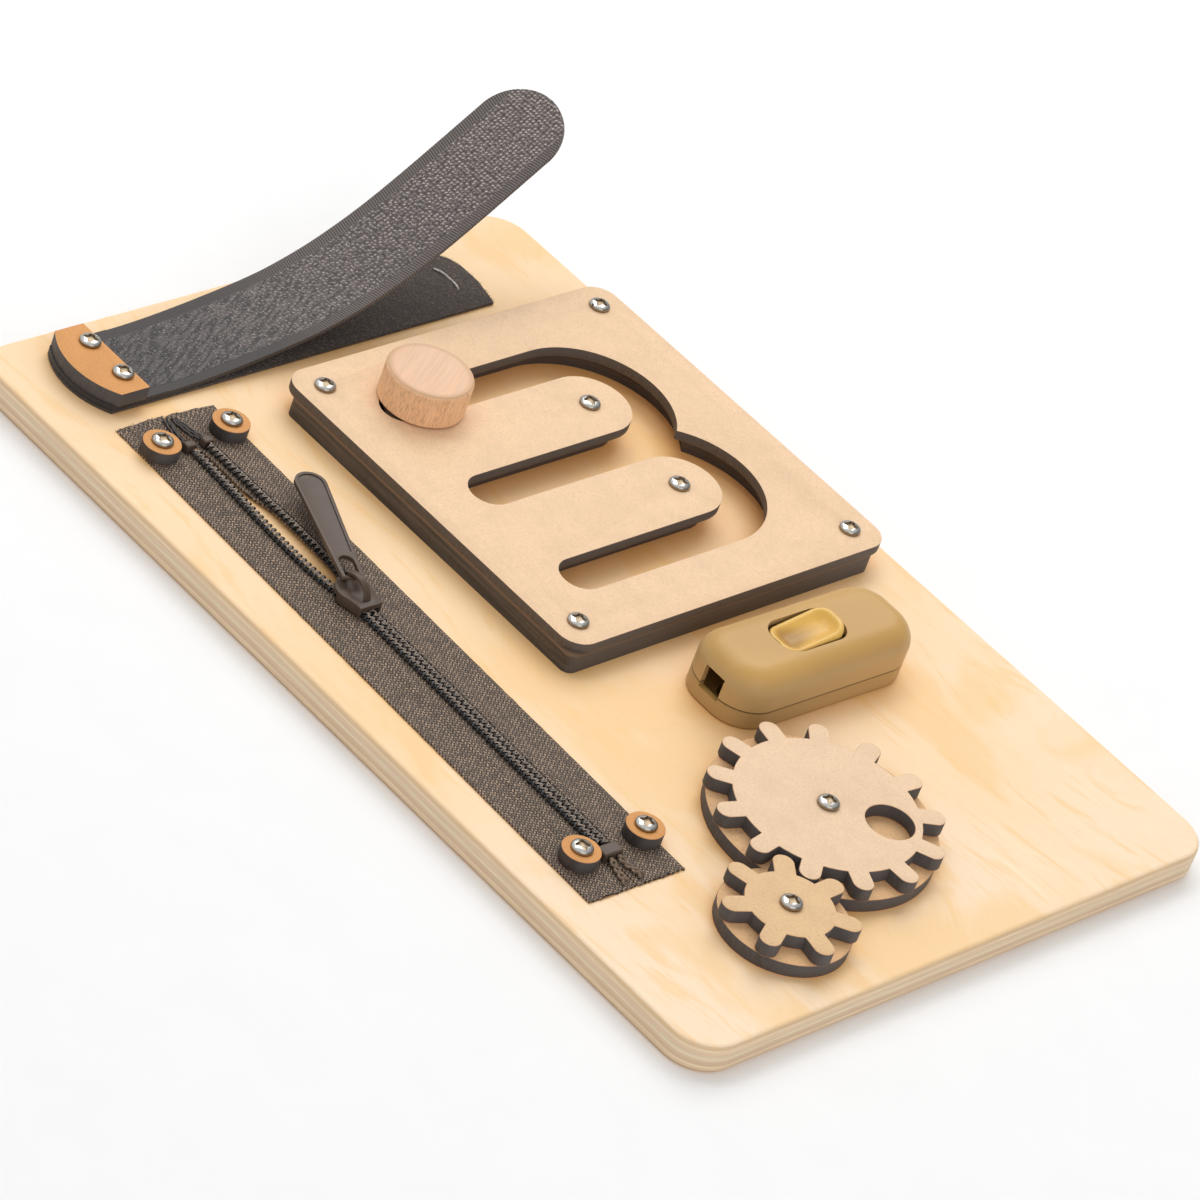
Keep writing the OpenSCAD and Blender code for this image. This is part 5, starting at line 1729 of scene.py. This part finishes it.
class BUSY_OT_gears(bpy.types.Operator):
    """Finish the two gears and the base that they turn on"""

    bl_idname = "busy_board.gears"
    bl_label = "Gears"

    def execute(self, context):
        look = context.scene.busy_wood
        big = fibreboard("big_gear_board", look.gear_board, look.char, look, freckles=0.2)
        small = fibreboard("small_gear_board", look.small_board, look.char, look, freckles=0.4)
        base = fibreboard("gear_base_board", look.base_layer, look.char, look, freckles=0.7)
        eased_copy("gear_base", "board", base, look.ease)
        eased_copy("big_gear", "big_gear", big, look.ease)
        eased_copy("small_gear", "small_gear", small, look.ease)
        return {"FINISHED"}


class BUSY_OT_switch(bpy.types.Operator):
    """Finish the inline switch: housing, rocker and the contacts inside"""

    bl_idname = "busy_board.switch"
    bl_label = "Rocker switch"

    def execute(self, context):
        look = context.scene.busy_switch
        gold = gold_plastic(look)
        paint_node("switch_lower_shell", gold)
        paint_node("switch_upper_shell", gold)
        build_rocker(amber_plastic(look))
        brass = plain_brass()
        paint_node("switch_terminals", brass)
        paint_node("rocker_contact", brass)
        return {"FINISHED"}


class BUSY_OT_screws(bpy.types.Operator):
    """Put cross-recessed screws in every screw place and finish the hidden ones"""

    bl_idname = "busy_board.screws"
    bl_label = "Screws"

    def execute(self, context):
        look = context.scene.busy_fasteners
        zinc = bright_zinc(look)
        tree = repeat_tree("screw_places", zinc)
        for node in ("maze_screws", "gear_screws", "zip_screws", "strap_bar_screws"):
            grow_screws(node, "board", zinc, tree, look)
        for node in ("switch_screws", "knob_screw", "rocker_axle"):
            paint_node(node, zinc)
        return {"FINISHED"}


class BUSY_OT_washers(bpy.types.Operator):
    """Finish the washers of the zipper and the bar of the strap"""

    bl_idname = "busy_board.washers"
    bl_label = "Washers and bar"

    def execute(self, context):
        look = context.scene.busy_wood
        orange = look.orange_board
        round_board = fibreboard("washer_board", orange, look.washer_char, look, freckles=0.15)
        bar_board = fibreboard("bar_board", orange, look.char, look, freckles=0.15)
        eased_copy("zip_washers", "board", round_board, look.ease)
        eased_copy("strap_bar", "board", bar_board, look.ease)
        return {"FINISHED"}


class BUSY_OT_zipper(bpy.types.Operator):
    """Weave the tapes, wind the teeth and finish the slider, pull tab and stops"""

    bl_idname = "busy_board.zipper"
    bl_label = "Zipper"

    def execute(self, context):
        look = context.scene.busy_zipper
        twill = zipper_twill(look)
        build_tape(1, "zip_tape_far", twill)
        build_tape(-1, "zip_tape_near", twill)
        filament = nylon("filament", look.filament, roughness=0.16)
        thread = nylon("sewing_thread", look.thread, roughness=0.6)
        build_coil(1, "zip_coil_far", look, filament, thread)
        build_coil(-1, "zip_coil_near", look, filament, thread)
        loose = nylon("loose_yarn", scaled(look.twill, 0.5), roughness=0.7)
        tail = nylon("tail_yarn", look.tail, roughness=0.5)
        build_tails("zip_tails_top", TOP_TAILS, tail, radius=0.38, weave=0.12)
        build_tails("zip_tails_bottom", BOTTOM_TAILS, loose, radius=0.46, weave=0.34)
        fray_tape_ends(loose)
        metal = gunmetal(look)
        eased_copy("zip_slider", "slider", metal, 0.22 * MM, angle=30)
        eased_copy("pull_tab", "pull_tab", metal, 0.2 * MM, angle=30)
        eased_copy("zip_top_stops", "board", metal, 0.75 * MM, segments=4, angle=30)
        eased_copy("zip_bottom_stop", "board", metal, 0.75 * MM, segments=4, angle=30)
        return {"FINISHED"}


class BUSY_OT_strap(bpy.types.Operator):
    """Weave the strap along its folds and finish the loop strip under it"""

    bl_idname = "busy_board.strap"
    bl_label = "Strap"

    def execute(self, context):
        look = context.scene.busy_strap
        build_strap(look)
        build_loop_strip(look)
        return {"FINISHED"}


class BUSY_OT_stage(bpy.types.Operator):
    """Lay a plain pale floor and hang the soft lamps"""

    bl_idname = "busy_board.stage"
    bl_label = "Floor and lamps"

    def execute(self, context):
        look = context.scene.busy_stage
        lay_floor(look)
        for name, power, place, size in LAMPS:
            hang_lamp(name, place, getattr(look, power), size)
        light_sky(look)
        context.scene.view_settings.view_transform = "Standard"
        return {"FINISHED"}


def lay_floor(look):
    """A square floor just under the board."""
    half, height = FLOOR_WIDE / 2, BOARD_BOTTOM - FLOOR_GAP
    corners = [(-half, -half, height), (half, -half, height), (half, half, height), (-half, half, height)]
    mesh = bpy.data.meshes.new("floor")
    mesh.from_pydata(corners, [], [(0, 1, 2, 3)])
    floor = bpy.data.objects.new("floor", mesh)
    bpy.context.scene.collection.objects.link(floor)
    mesh.materials.append(floor_finish(look))


def light_sky(look):
    """Even light that shows white to the camera, and that metal mirrors brightest near the small lamp."""
    world = bpy.data.worlds.new("sky")
    bpy.context.scene.world = world
    world.use_nodes = True
    w = Wiring(world.node_tree)
    back = world.node_tree.nodes["Background"]
    back.inputs[0].default_value = (1.0, 1.0, 1.0, 1.0)
    way = w.node("ShaderNodeTexCoord").outputs["Generated"]
    inputs = {0: way, 1: tuple(GLINT_WAY)}
    facing = w.node("ShaderNodeVectorMath", inputs, operation="DOT_PRODUCT").outputs["Value"]
    dome = w.between(facing, -0.1, 0.95, 0.3, 1.0)
    rays = w.node("ShaderNodeLightPath").outputs
    mirrored = w.math("MAXIMUM", rays["Is Glossy Ray"], rays["Is Transmission Ray"])
    light = w.between(mirrored, 0.0, 1.0, look.sky, 1.0)
    light = w.math("MULTIPLY", light, w.between(mirrored, 0.0, 1.0, 1.0, dome))
    w.join(w.math("MAXIMUM", light, rays["Is Camera Ray"]), back.inputs[1])


def hang_lamp(name, place, power, size):
    """An area lamp that points at the board."""
    data = bpy.data.lights.new(name, "AREA")
    data.energy = power
    data.size = size
    lamp = bpy.data.objects.new(name, data)
    lamp.location = place
    lamp.rotation_euler = place.to_track_quat("Z", "Y").to_euler()
    bpy.context.scene.collection.objects.link(lamp)


def floor_finish(look):
    """Pale and nearly even, so that only the board's shadow shows on it."""
    f = Finish("floor")
    w = f.wiring
    speck = w.grains(f.place, 0.05, detail=2)
    tone = w.mix(w.between(speck, 0.3, 0.7), scaled(look.floor, 0.99), look.floor)
    return f.set(Base_Color=tone, Roughness=0.9, Specular_IOR_Level=0.1)


OPERATORS = (
    BUSY_OT_camera,
    BUSY_OT_panel,
    BUSY_OT_maze,
    BUSY_OT_gears,
    BUSY_OT_switch,
    BUSY_OT_screws,
    BUSY_OT_washers,
    BUSY_OT_zipper,
    BUSY_OT_strap,
    BUSY_OT_stage,
)


class BUSY_PT_sidebar(bpy.types.Panel):
    """Lists the steps that dress the board"""

    bl_label = "Busy board"
    bl_idname = "BUSY_PT_sidebar"
    bl_space_type = "VIEW_3D"
    bl_region_type = "UI"
    bl_category = "Busy board"

    def draw(self, context):
        for operator in OPERATORS:
            self.layout.operator(operator.bl_idname)


def register():
    for group in SETTINGS.values():
        bpy.utils.register_class(group)
    for name, group in SETTINGS.items():
        setattr(bpy.types.Scene, name, PointerProperty(type=group))
    for operator in OPERATORS:
        bpy.utils.register_class(operator)
    bpy.utils.register_class(BUSY_PT_sidebar)


def unregister():
    bpy.utils.unregister_class(BUSY_PT_sidebar)
    for operator in reversed(OPERATORS):
        bpy.utils.unregister_class(operator)
    for name in SETTINGS:
        delattr(bpy.types.Scene, name)
    for group in reversed(list(SETTINGS.values())):
        bpy.utils.unregister_class(group)


def main():
    register()
    for operator in OPERATORS:
        step = operator.bl_idname.split(".")[1]
        getattr(bpy.ops.busy_board, step)()


if __name__ == "__main__":
    main()
